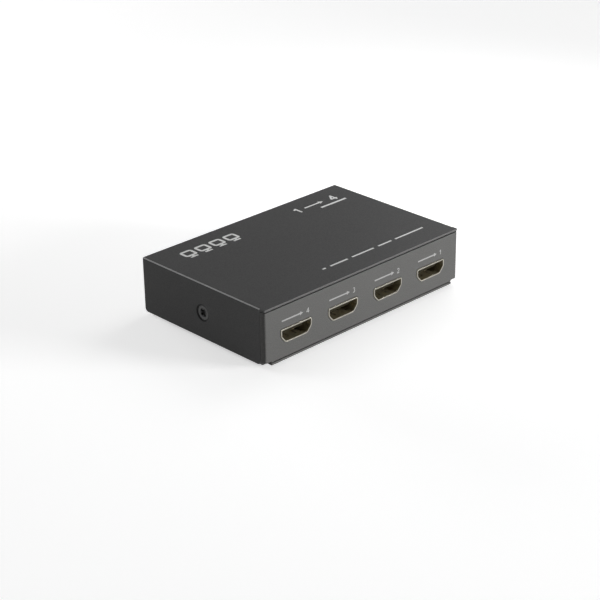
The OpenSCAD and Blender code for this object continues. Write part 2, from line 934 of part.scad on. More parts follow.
module port_contacts() {
    upper_z = tongue_rise + tongue_t / 2 - contact_sink;
    lower_z = tongue_rise - tongue_t / 2 + contact_sink - contact_t;
    for (i = [0:contact_count - 1])
        port_contact((i - (contact_count - 1) / 2) * contact_pitch, upper_z);
    for (i = [0:contact_count - 2])
        port_contact((i - (contact_count - 2) / 2) * contact_pitch, lower_z);
}

module port_insulator() {
    block_y = port_d - insulator_d;
    low_z = tongue_rise - tongue_t / 2;
    difference() {
        union() {
            port_prism(-fit_gap, block_y, port_d);
            block([-tongue_w / 2, tongue_set, low_z], [tongue_w / 2, port_d, low_z + tongue_t]);
        }
        port_contacts();
    }
}

module shell_finish() {
    color("#c9c1a4")
        children();
}

module insulator_finish() {
    color("#171717")
        children();
}

module contact_finish() {
    color("gold")
        children();
}

// Power inlet, drawn about its axis with its face at Y = 0

module power_inlet_body() {
    bottom = -jack_axis_h;
    slot_half_w = strip_half_w + spring_gap;
    color("#202020")
        at_jack()
            difference() {
                union() {
                    block([-jack_w / 2, 0, bottom], [jack_w / 2, jack_front_d, bottom + jack_h]);
                    block([-jack_rear_half_w, 0, bottom], [jack_rear_half_w, jack_d, bottom + jack_rear_h]);
                }
                bar_y(jack_bore_r, -through, jack_bore_len);
                bar_y(pin_root_r + fit_gap, 0, jack_d + through);
                block([-slot_half_w, spring_wall, bottom - through], [slot_half_w, leg_y + strip_t, 0]);
            }
}

module power_inlet_pin() {
    color("silver")
        at_jack() {
            translate([0, pin_set, 0])
                rotate([-90, 0, 0])
                    cylinder(r1 = pin_r / 2, r2 = pin_r, h = pin_tip);
            bar_y(pin_r, pin_set + pin_tip, jack_bore_len);
            bar_y(pin_root_r, jack_bore_len, jack_d + strip_t);
            bar_y(rivet_d / 2, jack_d, jack_d + strip_t);
            block(
                [-strip_half_w, jack_d, -jack_axis_h - board_t - leg_out],
                [strip_half_w, jack_d + strip_t, 0]
            );
        }
}

// The leaf seen along X, from its root to its crest and its free tip.
module spring_outline() {
    upper = [
        [spring_root_y, -spring_root_drop],
        [spring_crest_y, -spring_crest_drop],
        [spring_tip_y, -spring_tip_drop]
    ];
    lower = [for (i = [2:-1:0]) upper[i] - [0, strip_t]];
    polygon(concat(upper, lower));
}

module power_inlet_spring() {
    color("silver")
        at_jack()
            along_x(strip_w)
                spring_outline();
}

module power_inlet_spring_leg() {
    color("silver")
        at_jack()
            block(
                [-strip_half_w, leg_y, -jack_axis_h - board_t - leg_out],
                [strip_half_w, leg_y + strip_t, strip_t - spring_root_drop]
            );
}

module power_inlet_switch_leg() {
    color("silver")
        at_jack()
            block(
                [jack_rear_half_w, switch_leg_y, -jack_axis_h - board_t - leg_out],
                [jack_rear_half_w + strip_t, switch_leg_y + strip_w, switch_leg_h - jack_axis_h]
            );
}

// Status lights

module light(number) {
    color("#e8ecec")
        at_light(number) {
            translate([0, led_r, 0])
                sphere(led_r);
            bar_y(led_r, led_r, led_len);
            bar_y(led_flange_d / 2, led_len, led_len + led_flange_t);
        }
}

module light_leads() {
    flange_y = led_len + led_flange_t;
    half_t = lead_t / 2;
    low = board_z - leg_out - led_z;
    color("silver")
        for (number = [1:light_count], side = [-1, 1])
            at_light(number)
                translate([side * lead_pitch / 2, 0, 0]) {
                    block([-half_t, flange_y, -half_t], [half_t, lead_y + half_t, half_t]);
                    block([-half_t, lead_y - half_t, low], [half_t, lead_y + half_t, half_t]);
                }
}

// Board components

module on_board(x, y) {
    translate([x, y, board_top])
        children();
}

module slab(x, y, z) {
    translate([-x / 2, -y / 2, 0])
        cube([x, y, z]);
}

module splitter_chip() {
    color("#222222")
        on_board(0, chip_y)
            translate([0, 0, chip_lift])
                slab(chip_w, chip_w, chip_t);
}

module splitter_chip_leads() {
    edge = chip_w / 2;
    half = chip_lead_w / 2;
    color("silver")
        on_board(0, chip_y)
            for (turn = [0:90:270], i = [0:chip_leads - 1])
                rotate([0, 0, turn])
                    translate([0, (i - (chip_leads - 1) / 2) * chip_lead_pitch, 0]) {
                        block([edge, -half, 0], [edge + chip_lead_t, half, chip_lead_h]);
                        block([edge, -half, 0], [edge + chip_lead_len, half, chip_lead_t]);
                    }
}

module thermal_pad() {
    side = chip_w - 2 * pad_inset;
    color("lightblue")
        on_board(0, chip_y)
            translate([0, 0, chip_lift + chip_t])
                slab(side, side, pad_t);
}

module heat_sink() {
    color("silver")
        translate([0, chip_y, sink_z]) {
            slab(sink_w, sink_w, sink_base_t);
            for (i = [0:fin_count - 1])
                translate([i * fin_step - (sink_w - fin_t) / 2, 0, 0])
                    slab(fin_t, sink_w, sink_h);
        }
}

module equaliser_chip() {
    color("#222222")
        on_board(input_x, equaliser_y)
            slab(equaliser_w, equaliser_w, equaliser_t);
}

module memory_chip() {
    color("#222222")
        on_board(memory_x, chip_y)
            slab(memory_w, memory_len, memory_t);
}

module voltage_regulators() {
    color("#222222")
        for (i = [0, 1])
            on_board(regulator_x, inductor_y - i * regulator_step) {
                slab(regulator_w, regulator_len, regulator_t);
                translate([(regulator_w + regulator_tab) / 2, 0, 0])
                    slab(regulator_tab, regulator_len / 2, regulator_tab_t);
            }
}

module power_inductor() {
    color("#2f2f33")
        on_board(jack_x, inductor_y) {
            slab(inductor_w, inductor_w, inductor_h);
            cylinder(d = inductor_core_d, h = inductor_h + inductor_core_h);
        }
}

module can_capacitors() {
    color("silver")
        for (i = [0:2])
            on_board(can_x, inductor_y - i * can_step) {
                slab(can_base_w, can_base_w, can_base_h);
                cylinder(d = can_d, h = can_h);
            }
}

// A flat-sided can with round ends.
module crystal_can(w, h) {
    straight = crystal_len - crystal_w;
    slab(w, straight, h);
    for (y = [-straight / 2, straight / 2])
        translate([0, y, 0])
            cylinder(d = w, h = h);
}

module crystal() {
    color("silver")
        on_board(crystal_x, chip_y) {
            crystal_can(crystal_w, crystal_rim_h);
            crystal_can(crystal_w - 2 * crystal_rim, crystal_h);
        }
}

module surge_protectors() {
    color("#222222") {
        for (number = [1:output_count], side = [-1, 1])
            on_board(output_x(number) + side * guard_pitch / 2, -half_d + guard_y + guard_w / 2)
                slab(guard_len, guard_w, guard_t);
        for (side = [-1, 1])
            on_board(input_x + side * guard_pitch / 2, half_d - guard_y - guard_w / 2)
                slab(guard_len, guard_w, guard_t);
    }
}

module resistors() {
    color("#3a2f28")
        for (number = [1:output_count], i = [0:resistor_count - 1])
            on_board(
                output_x(number) + (i - (resistor_count - 1) / 2) * resistor_pitch,
                -half_d + resistor_y + resistor_len / 2
            )
                slab(resistor_w, resistor_len, resistor_t);
}

base_tray();
output_panel();
panel_rivets();
top_cover();
cover_screws();
clinch_nuts();
rubber_feet();
main_board();
board_standoffs();
board_screws();
shell_finish() at_output(1) port_shell();  // output_1_shell
shell_finish() at_output(2) port_shell();  // output_2_shell
shell_finish() at_output(3) port_shell();  // output_3_shell
shell_finish() at_output(4) port_shell();  // output_4_shell
shell_finish() at_input() port_shell();  // input_shell
insulator_finish() at_output(1) port_insulator();  // output_1_insulator
insulator_finish() at_output(2) port_insulator();  // output_2_insulator
insulator_finish() at_output(3) port_insulator();  // output_3_insulator
insulator_finish() at_output(4) port_insulator();  // output_4_insulator
insulator_finish() at_input() port_insulator();  // input_insulator
contact_finish() at_output(1) port_contacts();  // output_1_contacts
contact_finish() at_output(2) port_contacts();  // output_2_contacts
contact_finish() at_output(3) port_contacts();  // output_3_contacts
contact_finish() at_output(4) port_contacts();  // output_4_contacts
contact_finish() at_input() port_contacts();  // input_contacts
power_inlet_body();
power_inlet_pin();
power_inlet_spring();
power_inlet_spring_leg();
power_inlet_switch_leg();
light(1);  // output_light_1
light(2);  // output_light_2
light(3);  // output_light_3
light(4);  // output_light_4
light(5);  // power_light
light_leads();
splitter_chip();
splitter_chip_leads();
thermal_pad();
heat_sink();
equaliser_chip();
memory_chip();
voltage_regulators();
power_inductor();
can_capacitors();
crystal();
surge_protectors();
resistors();
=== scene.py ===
"""Looks of a small four-way video splitter: paint, plating, plastics, printed marks and the studio round it.

Lengths are in metres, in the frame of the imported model: the output panel faces -Y, the input panel faces +Y
and Z = 0 is the surface that the box stands on. Only the sizes of the prints are in millimetres.
"""

from __future__ import annotations

import logging
import math
from dataclasses import dataclass, field
from enum import Enum, IntEnum
from typing import Sequence

import bmesh
import bpy
from mathutils import Matrix, Vector
from mathutils.geometry import delaunay_2d_cdt

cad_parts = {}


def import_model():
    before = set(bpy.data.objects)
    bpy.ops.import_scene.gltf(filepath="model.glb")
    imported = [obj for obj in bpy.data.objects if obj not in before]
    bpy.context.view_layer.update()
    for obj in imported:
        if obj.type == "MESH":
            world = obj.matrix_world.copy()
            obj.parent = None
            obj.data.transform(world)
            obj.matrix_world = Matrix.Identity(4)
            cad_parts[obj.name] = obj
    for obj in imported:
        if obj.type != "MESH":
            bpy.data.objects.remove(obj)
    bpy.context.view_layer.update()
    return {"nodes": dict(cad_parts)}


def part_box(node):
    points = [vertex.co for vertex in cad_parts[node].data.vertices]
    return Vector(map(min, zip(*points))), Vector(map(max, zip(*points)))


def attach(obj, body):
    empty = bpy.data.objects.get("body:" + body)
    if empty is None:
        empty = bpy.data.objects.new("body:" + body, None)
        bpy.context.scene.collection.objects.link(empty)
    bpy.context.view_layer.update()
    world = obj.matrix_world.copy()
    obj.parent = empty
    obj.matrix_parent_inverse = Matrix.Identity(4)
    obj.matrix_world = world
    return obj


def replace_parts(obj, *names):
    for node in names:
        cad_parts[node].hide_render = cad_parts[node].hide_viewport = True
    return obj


LOG = logging.getLogger("splitter")

MM = 0.001
UNIT_BODY = "unit"
SPRING_BODY = "inlet_spring"
OUTPUT_NUMBERS = (1, 2, 3, 4)

Colour = tuple[float, float, float]
Point = tuple[float, float]
Span = tuple[float, float]
Socket = bpy.types.NodeSocket

FULL: Span = (0.0, 1.0)
MOST_NOISE: Span = (0.3, 0.7)
EVEN = (1.0, 1.0, 1.0)
ORIGIN = (0.0, 0.0, 0.0)
QUARTER_TURN = math.pi / 2
CORNER_STEPS = 5
RIGHT, BACK, UP = Vector((1, 0, 0)), Vector((0, 1, 0)), Vector((0, 0, 1))


def grey(level: float) -> Colour:
    """Return a neutral colour of the given linear level."""
    return (level, level, level)


def scaled(colour: Colour, share: float) -> Colour:
    """Return a colour with each channel multiplied by share, kept within 0 and 1."""
    return tuple(min(1.0, channel * share) for channel in colour)


def around(middle: float, spread: Span) -> Span:
    """Return the two values that lie at the given distances from a middle one."""
    return (middle + spread[0], middle + spread[1])


class Axis(Enum):
    """Directions along which a finish is drawn or brushed."""

    X = 0
    Y = 1
    Z = 2


class Sum(Enum):
    """Ways to combine two values in a node tree."""

    MAXIMUM = "MAXIMUM"
    MULTIPLY = "MULTIPLY"


class Facing(IntEnum):
    """The two panels, by the way along Y that they face."""

    OUTPUT_SIDE = -1
    INPUT_SIDE = 1


class Coat(IntEnum):
    """Numbers of the finishes on a piece that has several."""

    FACE = 0
    EDGE = 1
    # Painted highlight along the cover's folds.
    FOLD = 2
    # Painted shade in the cover's countersinks.
    SINK = 3


class NodeGraph:
    """A node tree under construction."""

    SEEN_RAYS = ("Is Camera Ray", "Is Glossy Ray", "Is Transmission Ray")
    RANGE_ENDS = ("From Min", "From Max", "To Min", "To Max")

    def __init__(self, tree: bpy.types.NodeTree) -> None:
        """Keep the tree's nodes and links.

        Args:
            tree: The tree that is built.
        """
        self.nodes = tree.nodes
        self.links = tree.links

    def combine(self, kind: Sum, first: Socket, second: Socket | float) -> Socket:
        """Work on two values.

        Args:
            kind: What is done with them.
            first: A value.
            second: A value or a number.

        Returns:
            The result's socket.
        """
        node = self.nodes.new("ShaderNodeMath")
        node.operation = kind.value
        self.links.new(first, node.inputs[0])
        if isinstance(second, Socket):
            self.links.new(second, node.inputs[1])
        else:
            node.inputs[1].default_value = second
        return node.outputs[0]

    def part_of(self, vector: Socket, axis: Axis) -> Socket:
        """Return one component of a vector.

        Args:
            vector: The vector.
            axis: The component's axis.

        Returns:
            The component's socket.
        """
        node = self.nodes.new("ShaderNodeSeparateXYZ")
        self.links.new(vector, node.inputs[0])
        return node.outputs[axis.value]

    def span(self, value: Socket, source: Span = MOST_NOISE, target: Span = FULL,
             smooth: bool = False) -> Socket:
        """Map one range of a value to another, and clamp it there.

        Args:
            value: The value to map.
            source: The range that is read.
            target: The range that is returned.
            smooth: Whether the ends of the range are eased.

        Returns:
            The mapped value's socket.
        """
        node = self.nodes.new("ShaderNodeMapRange")
        node.interpolation_type = "SMOOTHSTEP" if smooth else "LINEAR"
        self.links.new(value, node.inputs["Value"])
        for name, number in zip(self.RANGE_ENDS, (*source, *target)):
            node.inputs[name].default_value = number
        return node.outputs["Result"]

    def seen(self) -> Socket:
        """Tell the rays that show a thing to the camera, straight, mirrored or through clear pieces.

        Returns:
            The socket of a value that is 1 for those rays and 0 for others.
        """
        path = self.nodes.new("ShaderNodeLightPath")
        seen = path.outputs[self.SEEN_RAYS[0]]
        for ray in self.SEEN_RAYS[1:]:
            seen = self.combine(Sum.MAXIMUM, seen, path.outputs[ray])
        return seen


class Shader(NodeGraph):
    """A node material under construction, with one surface shader."""

    COLOUR_INPUTS = (6, 7)
    COLOUR_OUTPUT = 2

    def __init__(self, name: str) -> None:
        """Start a material.

        Args:
            name: The material's name.
        """
        self.material = bpy.data.materials.new(name)
        self.material.use_nodes = True
        super().__init__(self.material.node_tree)
        self.surface = self.nodes["Principled BSDF"]

    def fix(self, **values: float | Sequence[float]) -> None:
        """Set sockets of the surface shader that are the same all over.

        Args:
            values: Socket names with _ for spaces, and their values.
        """
        for name, value in values.items():
            self.surface.inputs[name.replace("_", " ")].default_value = value

    def feed(self, socket: str, source: Socket) -> None:
        """Link a varying value to a socket of the surface shader."""
        self.links.new(source, self.surface.inputs[socket])

    def place(self, stretch: Sequence[float] = EVEN, origin: Sequence[float] = ORIGIN) -> Socket:
        """Return the piece's own coordinates.

        Args:
            stretch: Factors on X, Y and Z; a small one draws the pattern out along that axis.
            origin: The place that the coordinates are counted from.

        Returns:
            The coordinates' socket.
        """
        own = self.nodes.new("ShaderNodeTexCoord").outputs["Object"]
        mapping = self.nodes.new("ShaderNodeMapping")
        mapping.inputs["Scale"].default_value = stretch
        mapping.inputs["Location"].default_value = [-o * s for o, s in zip(origin, stretch)]
        self.links.new(own, mapping.inputs["Vector"])
        return mapping.outputs["Vector"]

    def length(self, vector: Socket) -> Socket:
        """Return the length of a vector.

        Args:
            vector: The vector.

        Returns:
            The length's socket.
        """
        node = self.nodes.new("ShaderNodeVectorMath")
        node.operation = "LENGTH"
        self.links.new(vector, node.inputs[0])
        return node.outputs["Value"]

    def noise(self, size: float, detail: float = 2.0, stretch: Sequence[float] = EVEN) -> Socket:
        """Return a soft random pattern.

        Args:
            size: Length of one blot.
            detail: Octaves of finer blots.
            stretch: As in place.

        Returns:
            The socket of a value between 0 and 1.
        """
        node = self.nodes.new("ShaderNodeTexNoise")
        node.inputs["Scale"].default_value = 1.0 / size
        node.inputs["Detail"].default_value = detail
        self.links.new(self.place(stretch), node.inputs["Vector"])
        return node.outputs["Fac"]

    def cells(self, size: float, stretch: Sequence[float] = EVEN) -> Socket:
        """Return a pattern of random cells.

        Args:
            size: Length of one cell.
            stretch: As in place.

        Returns:
            The socket of the distance to the nearest edge of a cell.
        """
        node = self.nodes.new("ShaderNodeTexVoronoi")
        node.feature = "DISTANCE_TO_EDGE"
        node.inputs["Scale"].default_value = 1.0 / size
        self.links.new(self.place(stretch), node.inputs["Vector"])
        return node.outputs["Distance"]

    def blend(self, share: Socket, low: Colour | Socket, high: Colour | Socket) -> Socket:
        """Mix two colours.

        Args:
            share: 0 for low, 1 for high.
            low: A colour or a socket.
            high: A colour or a socket.

        Returns:
            The mixed colour's socket.
        """
        node = self.nodes.new("ShaderNodeMix")
        node.data_type = "RGBA"
        self.links.new(share, node.inputs["Factor"])
        for number, colour in zip(self.COLOUR_INPUTS, (low, high)):
            if isinstance(colour, Socket):
                self.links.new(colour, node.inputs[number])
            else:
                node.inputs[number].default_value = (*colour, 1.0)
        return node.outputs[self.COLOUR_OUTPUT]

    def shades(self, pattern: Socket, tone: Colour, shares: Span) -> Socket:
        """Return a tone that varies with a pattern between two shares of itself."""
        return self.blend(pattern, scaled(tone, shares[0]), scaled(tone, shares[1]))

    def relief(self, height: Socket, depth: float, strength: float) -> None:
        """Raise the surface by a pattern.

        Args:
            height: The pattern, from 0 to 1.
            depth: The height of the pattern's highest point.
            strength: How much of it shows.
        """
        node = self.nodes.new("ShaderNodeBump")
        node.inputs["Distance"].default_value = depth
        node.inputs["Strength"].default_value = strength
        self.links.new(height, node.inputs["Height"])
        self.feed("Normal", node.outputs["Normal"])


class Finish:
    """A finish that makes its material once and then hands it out."""

    _made: dict[str, bpy.types.Material] = {}

    name: str

    def build(self, shader: Shader) -> None:
        """Fill in the shader."""
        raise NotImplementedError

    def material(self) -> bpy.types.Material:
        """Make the finish's material on first use.

        Returns:
            The material.
        """
        if self.name not in Finish._made:
            shader = Shader(self.name)
            self.build(shader)
            Finish._made[self.name] = shader.material
        return Finish._made[self.name]


@dataclass(frozen=True)
class PowderCoat(Finish):
    """Satin powder coat with a fine pimpled grain and faint clouds."""

    name: str
    tone: Colour
    grain: float = 0.32 * MM
    fleck_range: Span = (0.34, 0.66)
    fleck_shades: Span = (0.82, 1.16)
    pimple: float = 0.012 * MM
    strength: float = 0.6
    cloud: float = 14 * MM
    cloud_weight: float = 0.35
    cloud_shade: float = 1.12
    dull_range: Span = (0.25, 0.75)
    roughness: float = 0.5
    roughness_spread: Span = (-0.05, 0.06)
    specular: float = 0.08

    def build(self, shader: Shader) -> None:
        """Fill in the shader.

        Args:
            shader: The shader of the coat's material.
        """
        grain = shader.noise(self.grain, detail=3.0)
        cloud = shader.noise(self.cloud, detail=4.0)
        fleck = shader.shades(shader.span(grain, self.fleck_range), self.tone, self.fleck_shades)
        veil = shader.span(cloud, target=(0.0, self.cloud_weight))
        shader.feed("Base Color", shader.blend(veil, fleck, scaled(self.tone, self.cloud_shade)))
        dull = around(self.roughness, self.roughness_spread)
        shader.feed("Roughness", shader.span(cloud, self.dull_range, dull))
        shader.fix(Specular_IOR_Level=self.specular)
        shader.relief(grain, self.pimple, self.strength)


@dataclass(frozen=True)
class Plating(Finish):
    """Bright plating over stamped or turned metal, with faint drawing lines and dull clouds."""

    name: str
    tone: Colour
    roughness: float = 0.26
    roughness_spread: Span = (-0.06, 0.1)
    line: float = 0.06 * MM
    line_draw: float = 0.04
    line_depth: float = 0.004 * MM
    strength: float = 0.4
    along: Axis = Axis.Y
    cloud: float = 1.6 * MM
    shades: Span = (0.86, 1.0)

    def build(self, shader: Shader) -> None:
        """Fill in the shader.

        Args:
            shader: The shader of the plating's material.
        """
        stretch = list(EVEN)
        stretch[self.along.value] = self.line_draw
        lines = shader.noise(self.line, stretch=stretch)
        cloud = shader.noise(self.cloud, detail=3.0)
        shader.feed("Base Color", shader.shades(shader.span(cloud), self.tone, self.shades))
        dull = around(self.roughness, self.roughness_spread)
        shader.feed("Roughness", shader.span(lines, target=dull))
        shader.fix(Metallic=1.0)
        shader.relief(lines, self.line_depth, self.strength)


@dataclass(frozen=True)
class Moulding(Finish):
    """Moulded plastic, resin or rubber with a fine spark-eroded grain and faint flow clouds."""

    name: str
    tone: Colour
    roughness: float = 0.45
    roughness_spread: Span = (-0.07, 0.07)
    grain: float = 0.12 * MM
    depth: float = 0.006 * MM
    strength: float = 0.6
    cloud: float = 3 * MM
    shades: Span = (0.88, 1.12)
    specular: float = 0.4

    def build(self, shader: Shader) -> None:
        """Fill in the shader.

        Args:
            shader: The shader of the moulding's material.
        """
        grain = shader.noise(self.grain)
        cloud = shader.noise(self.cloud, detail=4.0)
        shader.feed("Base Color", shader.shades(shader.span(cloud), self.tone, self.shades))
        dull = around(self.roughness, self.roughness_spread)
        shader.feed("Roughness", shader.span(grain, target=dull))
        shader.fix(Specular_IOR_Level=self.specular)
        shader.relief(grain, self.depth, self.strength)


@dataclass(frozen=True)
class Ink(Finish):
    """Screen-printed ink that lies a little unevenly on the coat's grain."""

    name: str
    tone: Colour
    grain: float = 0.3 * MM
    grain_range: Span = (0.3, 0.6)
    shades: Span = (0.84, 1.0)
    roughness: Span = (0.5, 0.66)
    specular: float = 0.3
    depth: float = 0.008 * MM
    strength: float = 0.4

    def build(self, shader: Shader) -> None:
        """Fill in the shader.

        Args:
            shader: The shader of the ink's material.
        """
        grain = shader.noise(self.grain, detail=3.0)
        cover = shader.span(grain, self.grain_range)
        shader.feed("Base Color", shader.shades(cover, self.tone, self.shades))
        shader.feed("Roughness", shader.span(grain, target=self.roughness))
        shader.fix(Specular_IOR_Level=self.specular)
        shader.relief(grain, self.depth, self.strength)


@dataclass(frozen=True)
class ClearEpoxy(Finish):
    """Water-clear epoxy with a slightly milky bloom."""

    name: str
    tone: Colour
    bloom: float = 0.7 * MM
    shades: Span = (0.94, 1.0)
    roughness: Span = (0.12, 0.26)
    clearness: float = 0.5
    refraction: float = 1.5

    def build(self, shader: Shader) -> None:
        """Fill in the shader.

        Args:
            shader: The shader of the epoxy's material.
        """
        bloom = shader.noise(self.bloom, detail=3.0)
        shader.feed("Base Color", shader.shades(shader.span(bloom), self.tone, self.shades))
        shader.feed("Roughness", shader.span(bloom, target=self.roughness))
        shader.fix(Transmission_Weight=self.clearness, IOR=self.refraction)


@dataclass(frozen=True)
class SolderMask(Finish):
    """Green solder mask over raised copper tracks."""

    name: str
    tone: Colour
    track_tone: Colour
    track: float = 2.4 * MM
    track_stretch: tuple[float, float, float] = (0.5, 1.6, 1.0)
    track_range: Span = (0.11, 0.05)
    track_depth: float = 0.03 * MM
    strength: float = 0.6
    cloud: float = 6 * MM
    shades: Span = (0.85, 1.15)
    roughness: Span = (0.24, 0.36)

    def build(self, shader: Shader) -> None:
        """Fill in the shader.

        Args:
            shader: The shader of the mask's material.
        """
        tracks = shader.span(shader.cells(self.track, self.track_stretch), self.track_range)
        cloud = shader.noise(self.cloud, detail=3.0)
        ground = shader.shades(shader.span(cloud), self.tone, self.shades)
        shader.feed("Base Color", shader.blend(tracks, ground, self.track_tone))
        shader.feed("Roughness", shader.span(cloud, target=self.roughness))
        shader.relief(tracks, self.track_depth, self.strength)


@dataclass(frozen=True)
class CanSleeve(Finish):
    """Drawn aluminium can on a dark moulded base, told apart by height."""

    name: str
    tone: Colour
    base_tone: Colour
    base_top: float
    base_blur: Span = (-0.02 * MM, 0.02 * MM)
    line: float = 0.05 * MM
    line_stretch: tuple[float, float, float] = (1.0, 1.0, 0.05)
    shades: Span = (0.9, 1.0)
    roughness: Span = (0.28, 0.42)

    def build(self, shader: Shader) -> None:
        """Fill in the shader.

        Args:
            shader: The shader of the can's material.
        """
        height = shader.part_of(shader.place(), Axis.Z)
        metal = shader.span(height, around(self.base_top, self.base_blur))
        lines = shader.noise(self.line, stretch=self.line_stretch)
        can = shader.shades(lines, self.tone, self.shades)
        shader.feed("Base Color", shader.blend(metal, self.base_tone, can))
        shader.feed("Metallic", metal)
        shader.feed("Roughness", shader.span(lines, target=self.roughness))


@dataclass(frozen=True)
class ShadedRecessHead(Finish):
    """Black oxide on screws along X: dark within the rim's radius, which paints shade into the recesses, and
    paler round the rims of their heads, partly wear and partly a painted highlight.
    """

    name: str
    tone: Colour
    rim_wear_and_highlight_tone: Colour
    axis: tuple[float, float, float]
    across_axis: tuple[float, float, float] = (0.0, 1.0, 1.0)
    rim: float = 1.72 * MM
    rim_blur: Span = (-0.18 * MM, 0.18 * MM)
    grain: float = 0.12 * MM
    shades: Span = (0.8, 1.15)
    roughness: Span = (0.6, 0.36)
    specular: float = 0.5
    depth: float = 0.006 * MM
    strength: float = 0.6

    def build(self, shader: Shader) -> None:
        """Fill in the shader.

        Args:
            shader: The shader of the screws' material.
        """
        radius = shader.length(shader.place(self.across_axis, self.axis))
        # Painted shade and highlight: by distance from the screw's axis, the recess stays dark and the rim
        # turns pale.
        rim_share = shader.span(radius, around(self.rim, self.rim_blur))
        grain = shader.noise(self.grain)
        pale = shader.shades(shader.span(grain), self.rim_wear_and_highlight_tone, self.shades)
        shader.feed("Base Color", shader.blend(rim_share, self.tone, pale))
        shader.feed("Roughness", shader.span(rim_share, FULL, self.roughness))
        shader.fix(Specular_IOR_Level=self.specular)
        shader.relief(grain, self.depth, self.strength)


class Palette:
    """The finishes of this box."""

    COVER = PowderCoat("cover_powder_coat", grey(0.095))
    # The cover's eased cut edges, paler than its faces: partly edge wear, partly a painted highlight for the
    # light line along them.
    COVER_EDGE = PowderCoat("cut_edge_wear_and_highlight", grey(0.12), roughness=0.42)
    # Painted highlight: a pale, glossy coat on the middle of the cover's top folds stands for the light line
    # along them.
    COVER_FOLD_HIGHLIGHT = PowderCoat("fold_painted_highlight", grey(0.5), roughness=0.32, specular=0.5)
    TRAY = PowderCoat("tray_powder_coat", (0.095, 0.0945, 0.092))
    # Painted shade: a darker coat on the countersinks round the cover screws stands for the shade in the gap
    # round the heads.
    COVER_SINK_SHADE = PowderCoat("countersink_painted_shade", grey(0.03))
    RUBBER = Moulding("black_rubber", grey(0.017), roughness=0.78, grain=0.2 * MM, specular=0.25)
    SHELL = Plating("pale_gold_plate", (0.362, 0.348, 0.303), roughness=0.3)
    SHELL_INSIDE = Plating("dull_gold_plate", (0.47, 0.42, 0.29), roughness=0.55)
    TONGUE = Moulding("port_plastic", (0.022, 0.019, 0.011), roughness=0.7, specular=0.05)
    CONTACT = Plating("gold_flash", (0.75, 0.55, 0.24), roughness=0.24)
    INLET = Moulding("inlet_plastic", grey(0.075), roughness=0.42, specular=0.3)
    NICKEL = Plating("bright_nickel", (0.7, 0.68, 0.63), roughness=0.2)
    ZINC = Plating("zinc_plate", (0.62, 0.62, 0.6), roughness=0.34, along=Axis.Z)
    BRASS = Plating("turned_brass", (0.68, 0.48, 0.2), roughness=0.3, along=Axis.X)
    TIN = Plating("tinned_wire", (0.66, 0.66, 0.64), roughness=0.32, along=Axis.Z)
    LENS = ClearEpoxy("clear_epoxy", (0.93, 0.95, 0.95))
    CUP = Plating("silvered_cup", (0.85, 0.85, 0.82), roughness=0.3)
    BOARD = SolderMask("solder_mask", (0.008, 0.075, 0.026), (0.02, 0.15, 0.05))
    RESIN = Moulding("chip_resin", grey(0.02), roughness=0.55, grain=0.08 * MM)
    PAD = Moulding("thermal_silicone", (0.3, 0.42, 0.5), roughness=0.7)
    SINK = Plating("extruded_aluminium", (0.6, 0.61, 0.62), roughness=0.38)
    FERRITE = Moulding("pressed_ferrite", (0.045, 0.045, 0.05), roughness=0.6, grain=0.2 * MM)
    GLAZE = Moulding("resistor_glaze", (0.03, 0.026, 0.022), roughness=0.3)
    WHITE_INK = Ink("white_ink", (0.9, 0.9, 0.89))
    GREY_INK = Ink("pale_grey_ink", (0.3, 0.3, 0.295))


